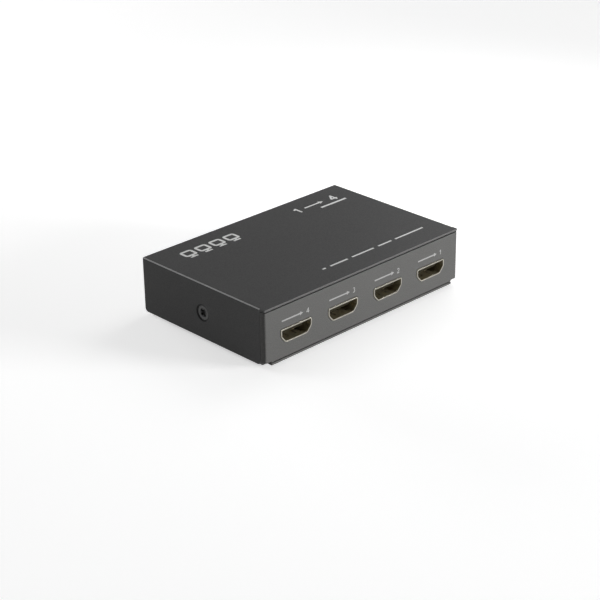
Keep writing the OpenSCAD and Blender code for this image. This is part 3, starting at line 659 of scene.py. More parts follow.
class Workshop:
    """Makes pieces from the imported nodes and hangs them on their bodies."""

    WELD = 0.0005 * MM
    FLAT = math.radians(0.4)
    CREASE = math.radians(32)
    ROUND = 0.5
    SAME_COAT = -1

    def __init__(self, nodes: dict[str, bpy.types.Object]) -> None:
        """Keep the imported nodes.

        Args:
            nodes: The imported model's objects by node name.
        """
        self.nodes = nodes

    def paint(self, node: str, finish: Finish) -> None:
        """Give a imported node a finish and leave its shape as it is.

        Args:
            node: The node.
            finish: Its finish.
        """
        piece = self.nodes[node]
        piece.data.materials.clear()
        piece.data.materials.append(finish.material())
        piece.data.set_sharp_from_angle(angle=self.CREASE)
        LOG.info("painted %s with %s", node, finish.name)

    def soften(self, node: str, finish: Finish, edge: float, edge_finish: Finish | None = None,
               body: str = UNIT_BODY, steps: int = 2) -> bpy.types.Object:
        """Make a piece from a node, with its sharp outer edges eased, that stands for the node.

        Args:
            node: The node.
            finish: The piece's finish.
            edge: Width of the eased edges.
            edge_finish: A finish for the eased edges, if it is another one.
            body: The body that the piece rides on.
            steps: Facets across an eased edge.

        Returns:
            The new piece.
        """
        form = bmesh.new()
        form.from_mesh(self.nodes[node].data)
        bmesh.ops.remove_doubles(form, verts=form.verts, dist=self.WELD)
        bmesh.ops.dissolve_limit(form, angle_limit=self.FLAT, verts=form.verts, edges=form.edges)
        sharp = [e for e in form.edges if e.is_convex and e.calc_face_angle() > self.CREASE]
        bmesh.ops.bevel(form, geom=sharp, offset=edge, offset_type="OFFSET", segments=steps,
                        profile=self.ROUND, affect="EDGES", clamp_overlap=False,
                        material=Coat.EDGE if edge_finish else self.SAME_COAT)
        low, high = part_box(node)
        for vertex in form.verts:
            vertex.co = [min(max(c, least), most) for c, least, most in zip(vertex.co, low, high)]
        bmesh.ops.remove_doubles(form, verts=form.verts, dist=self.WELD)
        finishes = [finish, edge_finish] if edge_finish else [finish]
        piece = self.piece(f"{node}_finished", form, finishes, body)
        piece.modifiers.new("even_flats", "WEIGHTED_NORMAL").keep_sharp = True
        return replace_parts(piece, node)

    def piece(self, name: str, form: bmesh.types.BMesh, finishes: Sequence[Finish],
              body: str = UNIT_BODY, slot: str | None = None) -> bpy.types.Object:
        """Turn a finished form into a piece that rides on a body.

        Args:
            name: The piece's name.
            form: Its shape, which is used up.
            finishes: Its finishes, one for each material number in the form.
            body: The body that it rides on.
            slot: Name of a material slot for a new piece; not used.

        Returns:
            The piece.
        """
        mesh = bpy.data.meshes.new(name)
        form.to_mesh(mesh)
        form.free()
        mesh.shade_smooth()
        mesh.set_sharp_from_angle(angle=self.CREASE)
        for finish in finishes:
            mesh.materials.append(finish.material())
        piece = bpy.data.objects.new(name, mesh)
        bpy.context.scene.collection.objects.link(piece)
        LOG.info("built %s: %d faces", name, len(mesh.polygons))
        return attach(piece, body)


def lathe(form: bmesh.types.BMesh, profile: Sequence[Point], place: Matrix, sides: int) -> None:
    """Turn a closed profile round an axis.

    Args:
        form: Where the faces go.
        profile: Radius and height of each point; the first and last lie on the axis.
        place: From the lathe's axes, with Z along the axis, to the frame.
        sides: Facets round the axis.
    """
    rings: list[list[bmesh.types.BMVert]] = []
    for radius, height in profile:
        turns = 1 if radius == 0.0 else sides
        angles = (math.tau * i / turns for i in range(turns))
        spots = (Vector((radius * math.cos(a), radius * math.sin(a), height)) for a in angles)
        rings.append([form.verts.new(place @ spot) for spot in spots])
    for low, high in zip(rings, rings[1:]):
        for i in range(sides):
            j = (i + 1) % sides
            corners = [low[i % len(low)], low[j % len(low)], high[j % len(high)], high[i % len(high)]]
            unique = list(dict.fromkeys(corners))
            if len(unique) > 2:
                form.faces.new(unique)
    bmesh.ops.recalc_face_normals(form, faces=form.faces)


@dataclass
class Case:
    """The folded cover, tray and output panel, the screws and rivets that join them and the feet."""

    shop: Workshop
    cover_edge: float = 0.16 * MM
    tray_edge: float = 0.06 * MM
    panel_edge: float = 0.12 * MM
    screw_edge: float = 0.07 * MM
    foot_edge: float = 0.2 * MM
    foot_steps: int = 3
    # Radius round the screw axis within which the cover's faces take painted shade, and how high and how
    # leaning a face must be to take the painted fold highlight.
    sink_radius: float = 3.4 * MM
    fold_reach: float = 0.6 * MM
    fold_lean: float = 0.3
    # Dark oxide tone, which also stays in the screws' recesses as painted shade, and the paler rim tone,
    # partly wear and partly painted highlight.
    oxide_tone: Colour = grey(0.014)
    rim_wear_and_highlight_tone: Colour = grey(0.055)

    def cover(self) -> None:
        """Build the cover, with a painted highlight along its top folds and painted shade in its
        countersinks, and with its top sunk by the thickness of the ink on it.
        """
        cover = self.shop.soften("top_cover", Palette.COVER, self.cover_edge, Palette.COVER_EDGE)
        for finish in (Palette.COVER_FOLD_HIGHLIGHT, Palette.COVER_SINK_SHADE):
            cover.data.materials.append(finish.material())
        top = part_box("top_cover")[1].z
        axis = self.screw_axis()
        sunk = {v.index for v in cover.data.vertices if (v.co - axis).yz.length < self.sink_radius}
        # Faces leaning on the top folds take a painted highlight; faces inside a countersink take painted
        # shade.
        for face in cover.data.polygons:
            leans = min(abs(face.normal.x), abs(face.normal.z)) > self.fold_lean
            high = face.center.z > top - self.fold_reach
            if leans and high and face.material_index == Coat.FACE:
                face.material_index = Coat.FOLD
            elif sunk.issuperset(face.vertices):
                face.material_index = Coat.SINK
        for vertex in cover.data.vertices:
            vertex.co.z = min(vertex.co.z, top - InkSheet.FILM)

    def screw_axis(self) -> Vector:
        """Return a point on the axis that the two cover screws share."""
        low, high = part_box("cover_screws")
        return (low + high) / 2

    def build(self) -> None:
        """Build and dress every piece of the case."""
        self.cover()
        self.shop.soften("base_tray", Palette.TRAY, self.tray_edge)
        self.shop.soften("output_panel", Palette.TRAY, self.panel_edge)
        oxide = ShadedRecessHead("black_oxide", self.oxide_tone, self.rim_wear_and_highlight_tone, tuple(self.screw_axis()))
        self.shop.soften("cover_screws", oxide, self.screw_edge)
        self.shop.soften("rubber_feet", Palette.RUBBER, self.foot_edge, steps=self.foot_steps)
        for fastener in ("clinch_nuts", "panel_rivets"):
            self.shop.paint(fastener, Palette.ZINC)


@dataclass
class VideoPort:
    """One video port: plated shell with sprung fingers, plastic tongue and contacts."""

    shop: Workshop
    name: str
    faces: Facing
    shell_edge: float = 0.02 * MM
    tongue_edge: float = 0.08 * MM
    half_height: float = 2.275 * MM
    finger_x: float = 2.9 * MM
    bump_depth: float = 5.7 * MM
    bump_radius: float = 0.62 * MM
    bump_rise: float = 0.2 * MM
    bump_rows: int = 4
    bump_sides: int = 20

    def middle(self) -> Vector:
        """Find the middle of the port's mouth.

        Returns:
            The place in the frame.
        """
        low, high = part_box(f"{self.name}_shell")
        mouth = high.y if self.faces is Facing.INPUT_SIDE else low.y
        insulator_low, insulator_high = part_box(f"{self.name}_insulator")
        return Vector(((low.x + high.x) / 2, mouth, (insulator_low.z + insulator_high.z) / 2))

    def finger_bumps(self) -> None:
        """Build the pressed bumps on the four sprung fingers, inside the shell."""
        angles = (QUARTER_TURN * i / self.bump_rows for i in range(self.bump_rows))
        dome = [(self.bump_radius * math.cos(a), self.bump_rise * math.sin(a)) for a in angles]
        profile = [(0.0, 0.0), *dome, (0.0, self.bump_rise)]
        middle = self.middle()
        inwards = -self.faces * self.bump_depth
        form = bmesh.new()
        for side in (-1, 1):
            for level in (-1, 1):
                seat = middle + Vector((side * self.finger_x, inwards, level * self.half_height))
                turn = Matrix.Rotation(math.pi if level > 0 else 0.0, 4, "X")
                lathe(form, profile, Matrix.Translation(seat) @ turn, self.bump_sides)
        self.shop.piece(f"{self.name}_finger_bumps", form, [Palette.SHELL_INSIDE], slot="port_shell_plate")

    def shell(self) -> None:
        """Build the shell, bright on its lip and edges and dull inside."""
        shell = self.shop.soften(f"{self.name}_shell", Palette.SHELL_INSIDE, self.shell_edge, Palette.SHELL)
        mouth = self.middle().y
        for face in shell.data.polygons:
            if abs(face.center.y - mouth) < self.shell_edge:
                face.material_index = Coat.EDGE

    def build(self) -> None:
        """Build and dress the port."""
        self.shell()
        self.shop.soften(f"{self.name}_insulator", Palette.TONGUE, self.tongue_edge)
        self.shop.paint(f"{self.name}_contacts", Palette.CONTACT)
        self.finger_bumps()


@dataclass
class PowerInlet:
    """The round power inlet with its centre pin and leaf spring."""

    shop: Workshop
    body_edge: float = 0.06 * MM
    metal_edge: float = 0.05 * MM

    def build(self) -> None:
        """Build and dress the inlet."""
        self.shop.soften("power_inlet_body", Palette.INLET, self.body_edge)
        self.shop.soften("power_inlet_pin", Palette.NICKEL, self.metal_edge)
        self.shop.soften("power_inlet_spring", Palette.NICKEL, self.metal_edge, body=SPRING_BODY)
        for leg in ("power_inlet_spring_leg", "power_inlet_switch_leg"):
            self.shop.paint(leg, Palette.TIN)


@dataclass
class StatusLights:
    """Clear round lights with a silvered cup inside."""

    shop: Workshop
    names: Sequence[str] = (*(f"output_light_{number}" for number in OUTPUT_NUMBERS), "power_light")
    rim: float = 0.12 * MM
    cup_depth: float = 2.5 * MM
    cup_height: float = 0.9 * MM
    cup_radius: float = 0.75 * MM
    cup_floor: float = 0.42 * MM
    cup_wall: float = 0.1 * MM
    cup_base: float = 0.3 * MM
    cup_sides: int = 24

    def cup(self, name: str) -> None:
        """Build the reflecting cup inside one light.

        Args:
            name: The light's node.
        """
        low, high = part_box(name)
        seat = Vector(((low.x + high.x) / 2, high.y - self.cup_depth, (low.z + high.z) / 2))
        outwards = Matrix.Rotation(-QUARTER_TURN, 4, "X")
        foot = -self.cup_height - self.cup_base
        profile = [
            (0.0, foot), (self.cup_floor + self.cup_wall, foot), (self.cup_radius + self.cup_wall, 0.0),
            (self.cup_radius, 0.0), (self.cup_floor, -self.cup_height), (0.0, -self.cup_height),
        ]
        form = bmesh.new()
        lathe(form, profile, Matrix.Translation(seat) @ outwards, self.cup_sides)
        self.shop.piece(f"{name}_cup", form, [Palette.CUP], slot="nickel_plate")

    def build(self) -> None:
        """Build and dress the lights and their leads."""
        for name in self.names:
            self.shop.soften(name, Palette.LENS, self.rim)
            self.cup(name)
        self.shop.paint("light_leads", Palette.TIN)


@dataclass
class CircuitBoard:
    """The board and what is soldered or screwed to it."""

    shop: Workshop
    can_base: float = 1.0 * MM
    can_tone: Colour = (0.68, 0.68, 0.69)
    can_base_tone: Colour = grey(0.02)
    plain: dict[str, Finish] = field(default_factory=lambda: {
        "main_board": Palette.BOARD,
        "board_standoffs": Palette.BRASS,
        "board_screws": Palette.ZINC,
        "splitter_chip": Palette.RESIN,
        "splitter_chip_leads": Palette.TIN,
        "thermal_pad": Palette.PAD,
        "heat_sink": Palette.SINK,
        "equaliser_chip": Palette.RESIN,
        "memory_chip": Palette.RESIN,
        "voltage_regulators": Palette.RESIN,
        "power_inductor": Palette.FERRITE,
        "crystal": Palette.ZINC,
        "surge_protectors": Palette.RESIN,
        "resistors": Palette.GLAZE,
    })

    def build(self) -> None:
        """Dress the board's pieces."""
        for node, finish in self.plain.items():
            self.shop.paint(node, finish)
        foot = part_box("can_capacitors")[0].z
        sleeve = CanSleeve("can_sleeve", self.can_tone, self.can_base_tone, foot + self.can_base)
        self.shop.paint("can_capacitors", sleeve)


def arc(middle: Point, radius: float, start: float, end: float, steps: int = 8) -> list[Point]:
    """Return points along an arc.

    Args:
        middle: The arc's middle.
        radius: Its radius.
        start: The angle that it starts at, in degrees.
        end: The angle that it ends at.
        steps: Stretches between points.

    Returns:
        The points, both ends included.
    """
    angles = (math.radians(start + (end - start) * i / steps) for i in range(steps + 1))
    return [(middle[0] + radius * math.cos(a), middle[1] + radius * math.sin(a)) for a in angles]


def ring(middle: Point, radius: float, sides: int) -> list[Point]:
    """Return the points of a closed ring."""
    return arc(middle, radius, 0.0, 360.0 - 360.0 / sides, sides - 1)


def rounded_frame(low: Point, high: Point, radius: float) -> list[Point]:
    """Return the closed outline of a rectangle with round corners.

    Args:
        low: Its lower left corner.
        high: Its upper right corner.
        radius: Radius of its corners.

    Returns:
        The outline's points.
    """
    corners = [(high[0] - radius, high[1] - radius, 0), (low[0] + radius, high[1] - radius, 90),
               (low[0] + radius, low[1] + radius, 180), (high[0] - radius, low[1] + radius, 270)]
    return [p for x, y, turn in corners for p in arc((x, y), radius, turn, turn + 90, CORNER_STEPS)]


NUMERAL_STROKES: dict[int, list[list[Point]]] = {
    1: [[(0.36, 0.0), (0.36, 1.0)], [(0.08, 0.72), (0.36, 0.91)]],
    2: [[*arc((0.3, 0.7), 0.25, 165, -40), (0.06, 0.08)], [(0.02, 0.05), (0.58, 0.05)]],
    3: [arc((0.28, 0.74), 0.22, 150, -90), arc((0.28, 0.28), 0.24, 90, -150)],
    4: [[(0.54, 0.0), (0.54, 1.0)], [(0.54, 0.92), (0.08, 0.3)], [(0.0, 0.27), (0.76, 0.27)]],
}


@dataclass(frozen=True)
class Face:
    """A flat face to print on: its corner, and the directions of writing and of up."""

    corner: Vector
    across: Vector
    up: Vector

    def at(self, point: Point, lift: float) -> Vector:
        """Return the place of a point of the print.

        Args:
            point: Distances across and up from the corner, in millimetres.
            lift: Height over the face.

        Returns:
            The place in the frame.
        """
        outwards = self.across.cross(self.up)
        return self.corner + (self.across * point[0] + self.up * point[1]) * MM + outwards * lift

    def spot(self, node: str) -> Point:
        """Find where on the face a node's middle lies.

        Args:
            node: The node.

        Returns:
            Distances across and up from the corner, in millimetres.
        """
        low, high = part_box(node)
        reach = (low + high) / 2 - self.corner
        return (reach.dot(self.across) / MM, reach.dot(self.up) / MM)


class InkSheet:
    """Printed marks on one face, merged into closed films that are half sunk in the paint."""

    FILM = 0.012 * MM
    SHARPEST = 0.4
    JOIN = 0.0001
    INSIDE = 1

    def __init__(self, face: Face) -> None:
        """Start an empty print.

        Args:
            face: The face that is printed on.
        """
        self.face = face
        self.outlines: list[Sequence[Point]] = []

    def film(self) -> bmesh.types.BMesh:
        """Merge the outlines, which may overlap, into closed films of ink.

        Returns:
            The films' shape.
        """
        spots: list[Vector] = []
        rings: list[list[int]] = []
        for outline in self.outlines:
            rings.append(list(range(len(spots), len(spots) + len(outline))))
            spots.extend(Vector(point) for point in outline)
        spots, _, cells, _, _, sources = delaunay_2d_cdt(spots, [], rings, self.INSIDE, self.JOIN)
        inked = [cell for cell, source in zip(cells, sources) if source]
        form = bmesh.new()
        over, under = ([form.verts.new(self.face.at(spot, lift)) for spot in spots]
                       for lift in (self.FILM, -self.FILM))
        for cell in inked:
            form.faces.new([over[i] for i in cell])
            form.faces.new([under[i] for i in reversed(cell)])
        ways = {way for cell in inked for way in zip(cell, (*cell[1:], cell[0]))}
        for a, b in sorted(way for way in ways if way[::-1] not in ways):
            form.faces.new([under[a], under[b], over[b], over[a]])
        return form

    def plate(self, *points: Point) -> None:
        """Print a filled polygon, given anticlockwise."""
        self.outlines.append(points)

    def line(self, points: Sequence[Point], width: float, closed: bool = False) -> None:
        """Print a line of even width.

        Args:
            points: The points that its middle follows.
            width: Its width.
            closed: Whether the last point joins the first.
        """
        path = [Vector(p) for p in points]
        last = len(path) - 1
        sides: list[tuple[Point, Point]] = []
        for i, here in enumerate(path):
            before = [here - path[i - 1]] if closed or i > 0 else []
            after = [path[(i + 1) % len(path)] - here] if closed or i < last else []
            normals = [Vector((-way.y, way.x)).normalized() for way in before + after]
            mitre = sum(normals, Vector((0.0, 0.0))).normalized()
            reach = mitre * (width / 2 / max(mitre.dot(normals[0]), self.SHARPEST))
            sides.append((tuple(here + reach), tuple(here - reach)))
        following = sides[1:] + (sides[:1] if closed else [])
        self.outlines.extend((a[1], b[1], b[0], a[0]) for a, b in zip(sides, following))

    def rule(self, ends: Span, level: float, width: float) -> None:
        """Print a level line from one place across to another."""
        self.line([(across, level) for across in ends], width)

    def arrow(self, ends: Span, level: float, width: float, head: float) -> None:
        """Print a level arrow.

        Args:
            ends: How far across its tail and its tip lie.
            level: How far up it lies.
            width: Width of its shaft.
            head: Length and width of its head.
        """
        tail, tip = ends
        way = math.copysign(1.0, tip - tail)
        neck = tip - way * head
        self.rule((tail, neck), level, width)
        self.plate((neck, level - way * head / 2), (tip, level), (neck, level + way * head / 2))

    def numeral(self, number: int, corner: Point, height: float, width: float) -> None:
        """Print a numeral from 1 to 4.

        Args:
            number: The numeral.
            corner: Its lower left corner.
            height: Its height.
            width: Width of its strokes.
        """
        for stroke in NUMERAL_STROKES[number]:
            self.line([(corner[0] + x * height, corner[1] + y * height) for x, y in stroke], width)


class Print:
    """The marks on one face of the case, in millimetres from the face's lower left corner."""

    NAME: str
    INK: Finish

    shop: Workshop

    def face(self) -> Face:
        """Return the face that is printed on."""
        raise NotImplementedError

    def draw(self, sheet: InkSheet) -> None:
        """Draw the marks on a sheet."""
        raise NotImplementedError

    def build(self) -> None:
        """Print the marks as one piece."""
        sheet = InkSheet(self.face())
        self.draw(sheet)
        self.shop.piece(self.NAME, sheet.film(), [self.INK])


@dataclass
class TopPrint(Print):
    """A row of screens, a one-to-four sign and a dashed rule on the cover."""

    NAME = "top_marks"
    INK = Palette.WHITE_INK

    shop: Workshop
    level: float = 54.8
    screens: int = 4
    screen_start: float = 14.0
    screen_pitch: float = 7.0
    screen_sides: Span = (-2.3, 2.3)
    screen_levels: Span = (-1.4, 2.5)
    screen_corner: float = 0.8
    screen_line: float = 1.1
    stand_levels: Span = (-1.9, -2.6)
    foot_sides: Span = (-1.7, 1.7)
    foot_level: float = -2.9
    foot_line: float = 0.8
    sign_places: Span = (69.0, 87.5)
    sign_foot: float = -1.2
    sign_height: float = 4.4
    sign_line: float = 0.8
    sign_arrow: Span = (74.0, 84.0)
    sign_arrow_level: float = 1.0
    sign_arrow_head: float = 2.2
    sign_rule: Span = (79.0, 92.6)
    sign_rule_level: float = -3.2
    sign_rule_line: float = 1.1
    dashes: Sequence[Span] = ((38.2, 39.8), (42.2, 51.0), (53.4, 64.8), (67.2, 74.2), (76.4, 91.6))
    dash_level: float = 10.1
    dash_line: float = 0.8

    def face(self) -> Face:
        """Return the top of the cover, which lies lower than its box by the thickness of the ink."""
        low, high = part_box("top_cover")
        return Face(Vector((low.x, low.y, high.z - InkSheet.FILM)), RIGHT, BACK)

    def draw(self, sheet: InkSheet) -> None:
        """Draw the marks.

        Args:
            sheet: The sheet to draw on.
        """
        for number in range(self.screens):
            self.screen(sheet, self.screen_start + self.screen_pitch * number)
        self.sign(sheet)
        for dash in self.dashes:
            sheet.rule(dash, self.dash_level, self.dash_line)

    def screen(self, sheet: InkSheet, middle: float) -> None:
        """Draw a screen on its stand.

        Args:
            sheet: The sheet to draw on.
            middle: How far across its middle lies.
        """
        left, right = around(middle, self.screen_sides)
        low, high = around(self.level, self.screen_levels)
        outline = rounded_frame((left, low), (right, high), self.screen_corner)
        sheet.line(outline, self.screen_line, closed=True)
        stand = [(middle, level) for level in around(self.level, self.stand_levels)]
        sheet.line(stand, self.screen_line)
        sheet.rule(around(middle, self.foot_sides), self.level + self.foot_level, self.foot_line)

    def sign(self, sheet: InkSheet) -> None:
        """Draw the first and the last output's numerals, an arrow between them and a rule below.

        Args:
            sheet: The sheet to draw on.
        """
        for number, place in zip((OUTPUT_NUMBERS[0], OUTPUT_NUMBERS[-1]), self.sign_places):
            sheet.numeral(number, (place, self.level + self.sign_foot), self.sign_height, self.sign_line)
        arrow_level = self.level + self.sign_arrow_level
        sheet.arrow(self.sign_arrow, arrow_level, self.sign_line, self.sign_arrow_head)
        sheet.rule(self.sign_rule, self.level + self.sign_rule_level, self.sign_rule_line)


@dataclass
class OutputPrint(Print):
    """An arrow and a numeral over each output port."""

    NAME = "output_marks"
    INK = Palette.GREY_INK

    shop: Workshop
    foot: float = 14.3
    arrow: Span = (-6.9, 3.4)
    arrow_line: float = 0.55
    arrow_head: float = 1.5
    numeral_place: float = 5.0
    numeral_height: float = 1.9
    numeral_line: float = 0.34

    def face(self) -> Face:
        """Return the outside of the output panel, from the cover's left end and the floor's underside."""
        corner = (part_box("top_cover")[0].x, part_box("output_panel")[0].y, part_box("base_tray")[0].z)
        return Face(Vector(corner), RIGHT, UP)

    def draw(self, sheet: InkSheet) -> None:
        """Draw the marks.

        Args:
            sheet: The sheet to draw on.
        """
        level = self.foot + self.numeral_height / 2
        for number in OUTPUT_NUMBERS:
            middle, _ = sheet.face.spot(f"output_{number}_shell")
            sheet.arrow(around(middle, self.arrow), level, self.arrow_line, self.arrow_head)
            corner = (middle + self.numeral_place, self.foot)
            sheet.numeral(number, corner, self.numeral_height, self.numeral_line)


@dataclass
class InputPrint(Print):
    """The marks beside the input port, the lights and the power inlet."""

    NAME = "input_marks"
    INK = Palette.GREY_INK

    shop: Workshop
    arrow: Span = (29.2, 17.9)
    arrow_level: float = 3.3
    arrow_line: float = 0.55
    arrow_head: float = 1.5
    frame_low: Point = (41.0, 4.3)
    frame_high: Point = (66.6, 14.4)
    frame_corner: float = 1.4
    frame_line: float = 0.34
    frame_stop: float = -80
    tab_low: Point = (46.3, 13.3)
    tab_high: Point = (61.5, 15.8)
    tab_corner: float = 0.5
    bars: Sequence[Span] = ((48.0, 53.0), (54.2, 59.8))
    bar_line: float = 0.7
    box_sides: Span = (-1.75, 1.75)
    box_levels: Span = (-1.25, 1.25)
    box_corner: float = 0.3
    box_line: float = 0.3
    numeral_shift: Point = (-0.5, -0.75)
    numeral_height: float = 1.5
    fine_line: float = 0.28
    on_place: float = 73.0
    on_radius: float = 0.85
    on_turn: Span = (125, 415)
    on_bar: Span = (0.1, 1.05)
    on_rule: Span = (74.8, 78.6)
    on_rule_line: float = 0.5
    polarity_place: Point = (92.9, 10.8)
    dot_radius: float = 0.42
    dot_sides: int = 14
    sleeve_radius: float = 0.95
    sleeve_turn: Span = (130, -130)
    wires: Sequence[Span] = ((91.25, 92.5), (93.95, 94.6))
    pole_places: Span = (90.5, 95.35)
    pole_radius: float = 0.7
    pole_sides: int = 24
    pole_line: float = 0.26
    arc_steps: int = 12

    def face(self) -> Face:
        """Return the outside of the input panel, from the cover's far end and the floor's underside."""
        low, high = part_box("base_tray")
        return Face(Vector((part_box("top_cover")[1].x, high.y, low.z)), -RIGHT, UP)

    def draw(self, sheet: InkSheet) -> None:
        """Draw the marks.

        Args:
            sheet: The sheet to draw on.
        """
        sheet.arrow(self.arrow, self.arrow_level, self.arrow_line, self.arrow_head)
        self.light_frame(sheet)
        self.light_tab(sheet)
        self.light_boxes(sheet)
        self.on_mark(sheet)
        self.polarity_mark(sheet)

    def light_places(self, sheet: InkSheet) -> list[float]:
        """Return how far across the output lights lie."""
        return [sheet.face.spot(f"output_light_{number}")[0] for number in OUTPUT_NUMBERS]

    def light_frame(self, sheet: InkSheet) -> None:
        """Draw the frame round the output lights, open at its tab and along the numbered boxes.

        Args:
            sheet: The sheet to draw on.
        """
        radius = self.frame_corner
        (left, low), (right, high) = self.frame_low, self.frame_high
        first_box = self.light_places(sheet)[0] + self.box_sides[0]
        sheet.line([(self.tab_low[0], high),
                    *arc((left + radius, high - radius), radius, 90, 180, CORNER_STEPS),
                    *arc((left + radius, low + radius), radius, 180, 270, CORNER_STEPS),
                    (first_box, low)], self.frame_line)
        sheet.line([(self.tab_high[0], high),
                    *arc((right - radius, high - radius), radius, 90, 0, CORNER_STEPS),
                    *arc((right - radius, low + radius), radius, 0, self.frame_stop, CORNER_STEPS)],
                   self.frame_line)

    def light_tab(self, sheet: InkSheet) -> None:
        """Draw the tab on the frame, with two bars in it.

        Args:
            sheet: The sheet to draw on.
        """
        outline = rounded_frame(self.tab_low, self.tab_high, self.tab_corner)
        sheet.line(outline, self.frame_line, closed=True)
        for bar in self.bars:
            sheet.rule(bar, (self.tab_low[1] + self.tab_high[1]) / 2, self.bar_line)

    def light_boxes(self, sheet: InkSheet) -> None:
        """Draw a numbered box under each output light, and the links between the boxes.

        Args:
            sheet: The sheet to draw on.
        """
        level = self.frame_low[1]
        low, high = around(level, self.box_levels)
        sides = [around(place, self.box_sides) for place in self.light_places(sheet)]
        for before, after in zip(sides, sides[1:]):
            sheet.rule((before[1], after[0]), level, self.frame_line)
        for number, (left, right) in zip(OUTPUT_NUMBERS, sides):
            outline = rounded_frame((left, low), (right, high), self.box_corner)
            sheet.line(outline, self.box_line, closed=True)
            corner = ((left + right) / 2 + self.numeral_shift[0], level + self.numeral_shift[1])
            sheet.numeral(number, corner, self.numeral_height, self.fine_line)

    def on_mark(self, sheet: InkSheet) -> None:
        """Draw the on mark and a rule beside the power light.

        Args:
            sheet: The sheet to draw on.
        """
        _, level = sheet.face.spot("power_light")
        loop = arc((self.on_place, level), self.on_radius, *self.on_turn, self.arc_steps)
        sheet.line(loop, self.fine_line)
        sheet.line([(self.on_place, up) for up in around(level, self.on_bar)], self.fine_line)
        sheet.rule(self.on_rule, level, self.on_rule_line)

    def polarity_mark(self, sheet: InkSheet) -> None:
        """Draw the polarity mark beside the inlet: a dot in an open sleeve, wires and two poles.

        Args:
            sheet: The sheet to draw on.
        """
        middle = self.polarity_place
        sheet.plate(*ring(middle, self.dot_radius, self.dot_sides))
        sheet.line(arc(middle, self.sleeve_radius, *self.sleeve_turn, self.arc_steps), self.fine_line)
        for wire in self.wires:
            sheet.rule(wire, middle[1], self.fine_line)
        for place in self.pole_places:
            outline = ring((place, middle[1]), self.pole_radius, self.pole_sides)
            sheet.line(outline, self.pole_line, closed=True)


@dataclass(frozen=True)
class Softbox:
    """A square lamp: the way to it from the box, its distance, its side and its brightness.

    The level is how brightly a white face square to the lamp shows, from 0 to 1.
    """

    name: str
    way: tuple[float, float, float]
    distance: float
    size: float
    level: float

    def hang(self, target: Vector) -> None:
        """Hang the lamp.

        Args:
            target: The place that it shines on.
        """
        light = bpy.data.lights.new(self.name, "AREA")
        light.size = self.size
        light.energy = self.level * math.pi ** 2 * self.distance ** 2
        lamp = bpy.data.objects.new(self.name, light)
        direction = Vector(self.way).normalized()
        lamp.location = target + direction * self.distance
        lamp.rotation_mode = "QUATERNION"
        lamp.rotation_quaternion = direction.to_track_quat("Z", "Y")
        bpy.context.scene.collection.objects.link(lamp)


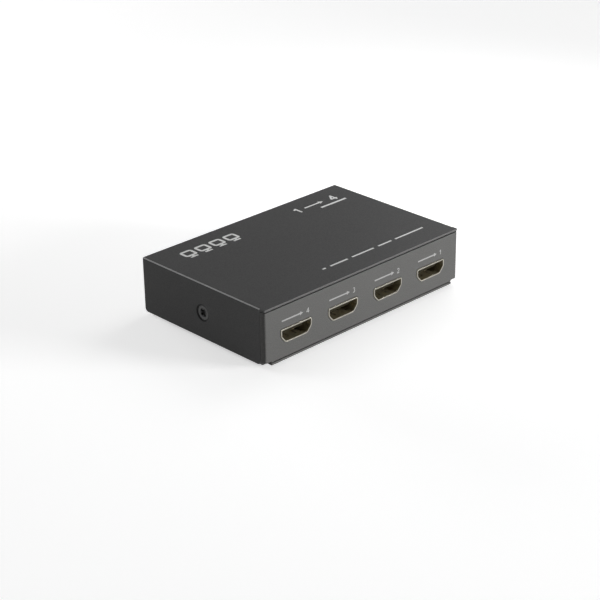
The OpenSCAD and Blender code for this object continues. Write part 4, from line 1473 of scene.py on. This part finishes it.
@dataclass
class Studio:
    """A pale floor, a soft sky, four lamps and the camera."""

    floor_size: float = 12.0
    floor_tone: Colour = grey(0.86)
    floor_roughness: float = 0.9
    floor_glow: float = 0.55
    haze: Span = (0.02, 0.16)
    horizon: float = 1.0
    zenith: float = 0.12
    target: tuple[float, float, float] = (0.0, 0.0, 0.012)
    lamps: Sequence[Softbox] = (
        Softbox("front_right_softbox", (0.52, -0.84, 0.09), distance=1.1, size=0.4, level=1.74),
        Softbox("back_softbox", (0.03, 0.97, 0.05), distance=1.1, size=0.4, level=0.9),
        Softbox("upper_right_softbox", (0.76, 0.16, 0.63), distance=0.27, size=0.15, level=0.31),
        Softbox("back_left_strip", (-0.43, 0.65, 0.63), distance=1.0, size=0.3, level=0.13),
    )
    sensor_mm: float = 36.0
    lens_mm: float = 101.4
    camera_place: tuple[float, float, float] = (-0.4001, -0.4128, 0.2733)
    azimuth: float = math.radians(-43.975)
    elevation: float = math.radians(25.454)
    roll: float = math.radians(-0.77)

    def floor(self) -> None:
        """Lay the floor, which shows white to the camera and in reflections, and keeps the shadow."""
        form = bmesh.new()
        bmesh.ops.create_grid(form, x_segments=1, y_segments=1, size=self.floor_size / 2)
        mesh = bpy.data.meshes.new("floor")
        form.to_mesh(mesh)
        form.free()
        floor = bpy.data.objects.new("floor", mesh)
        bpy.context.scene.collection.objects.link(floor)
        mesh.materials.append(self.floor_material())

    def floor_material(self) -> bpy.types.Material:
        """Make the floor's paper-white material.

        Returns:
            The material.
        """
        shader = Shader("paper_floor")
        shader.fix(Base_Color=(*self.floor_tone, 1.0), Roughness=self.floor_roughness, Specular_IOR_Level=0.0)
        glow = shader.nodes.new("ShaderNodeEmission")
        strength = shader.combine(Sum.MULTIPLY, shader.seen(), self.floor_glow)
        shader.links.new(strength, glow.inputs["Strength"])
        both = shader.nodes.new("ShaderNodeAddShader")
        shader.links.new(shader.surface.outputs["BSDF"], both.inputs[0])
        shader.links.new(glow.outputs["Emission"], both.inputs[1])
        shader.links.new(both.outputs["Shader"], shader.nodes["Material Output"].inputs["Surface"])
        return shader.material

    def sky(self) -> None:
        """Make a soft grey sky that shows white at the horizon to the camera and in reflections."""
        world = bpy.data.worlds.new("studio_sky")
        world.use_nodes = True
        graph = NodeGraph(world.node_tree)
        way = graph.nodes.new("ShaderNodeTexCoord").outputs["Generated"]
        level = graph.span(graph.part_of(way, Axis.Z), self.haze, (self.horizon, self.zenith), smooth=True)
        strength = graph.nodes.new("ShaderNodeMix")
        graph.links.new(graph.seen(), strength.inputs["Factor"])
        strength.inputs["A"].default_value = self.zenith
        graph.links.new(level, strength.inputs["B"])
        backdrop = graph.nodes["Background"]
        graph.links.new(strength.outputs["Result"], backdrop.inputs["Strength"])
        backdrop.inputs["Color"].default_value = (*grey(1.0), 1.0)
        bpy.context.scene.world = world

    def camera(self) -> None:
        """Set the camera at the photograph's place and angle."""
        data = bpy.data.cameras.new("camera")
        data.sensor_width = self.sensor_mm
        data.lens = self.lens_mm
        camera = bpy.data.objects.new("camera", data)
        flat = math.cos(self.elevation)
        back = Vector((math.sin(self.azimuth) * flat, -math.cos(self.azimuth) * flat,
                       math.sin(self.elevation)))
        turn = back.to_track_quat("Z", "Y").to_matrix().to_4x4()
        spin = Matrix.Rotation(self.roll, 4, "Z")
        camera.matrix_world = Matrix.Translation(self.camera_place) @ turn @ spin
        bpy.context.scene.collection.objects.link(camera)
        bpy.context.scene.camera = camera

    def build(self) -> None:
        """Set up the studio."""
        bpy.context.scene.view_settings.view_transform = "Standard"
        self.floor()
        self.sky()
        for lamp in self.lamps:
            lamp.hang(Vector(self.target))
        self.camera()
        LOG.info("set up the studio")


def corners(box: tuple[Vector, Vector]) -> list[list[float]]:
    """Return a box's two corners as plain lists."""
    return [list(corner) for corner in box]


def main() -> None:
    """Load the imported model, dress it and set up the studio."""
    logging.basicConfig(level=logging.INFO, format="%(name)s: %(message)s")
    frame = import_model()
    shop = Workshop(frame["nodes"])
    Studio().build()
    Case(shop).build()
    for number in OUTPUT_NUMBERS:
        VideoPort(shop, f"output_{number}", Facing.OUTPUT_SIDE).build()
    VideoPort(shop, "input", Facing.INPUT_SIDE).build()
    PowerInlet(shop).build()
    StatusLights(shop).build()
    CircuitBoard(shop).build()
    for marks in (TopPrint(shop), OutputPrint(shop), InputPrint(shop)):
        marks.build()


if __name__ == "__main__":
    main()
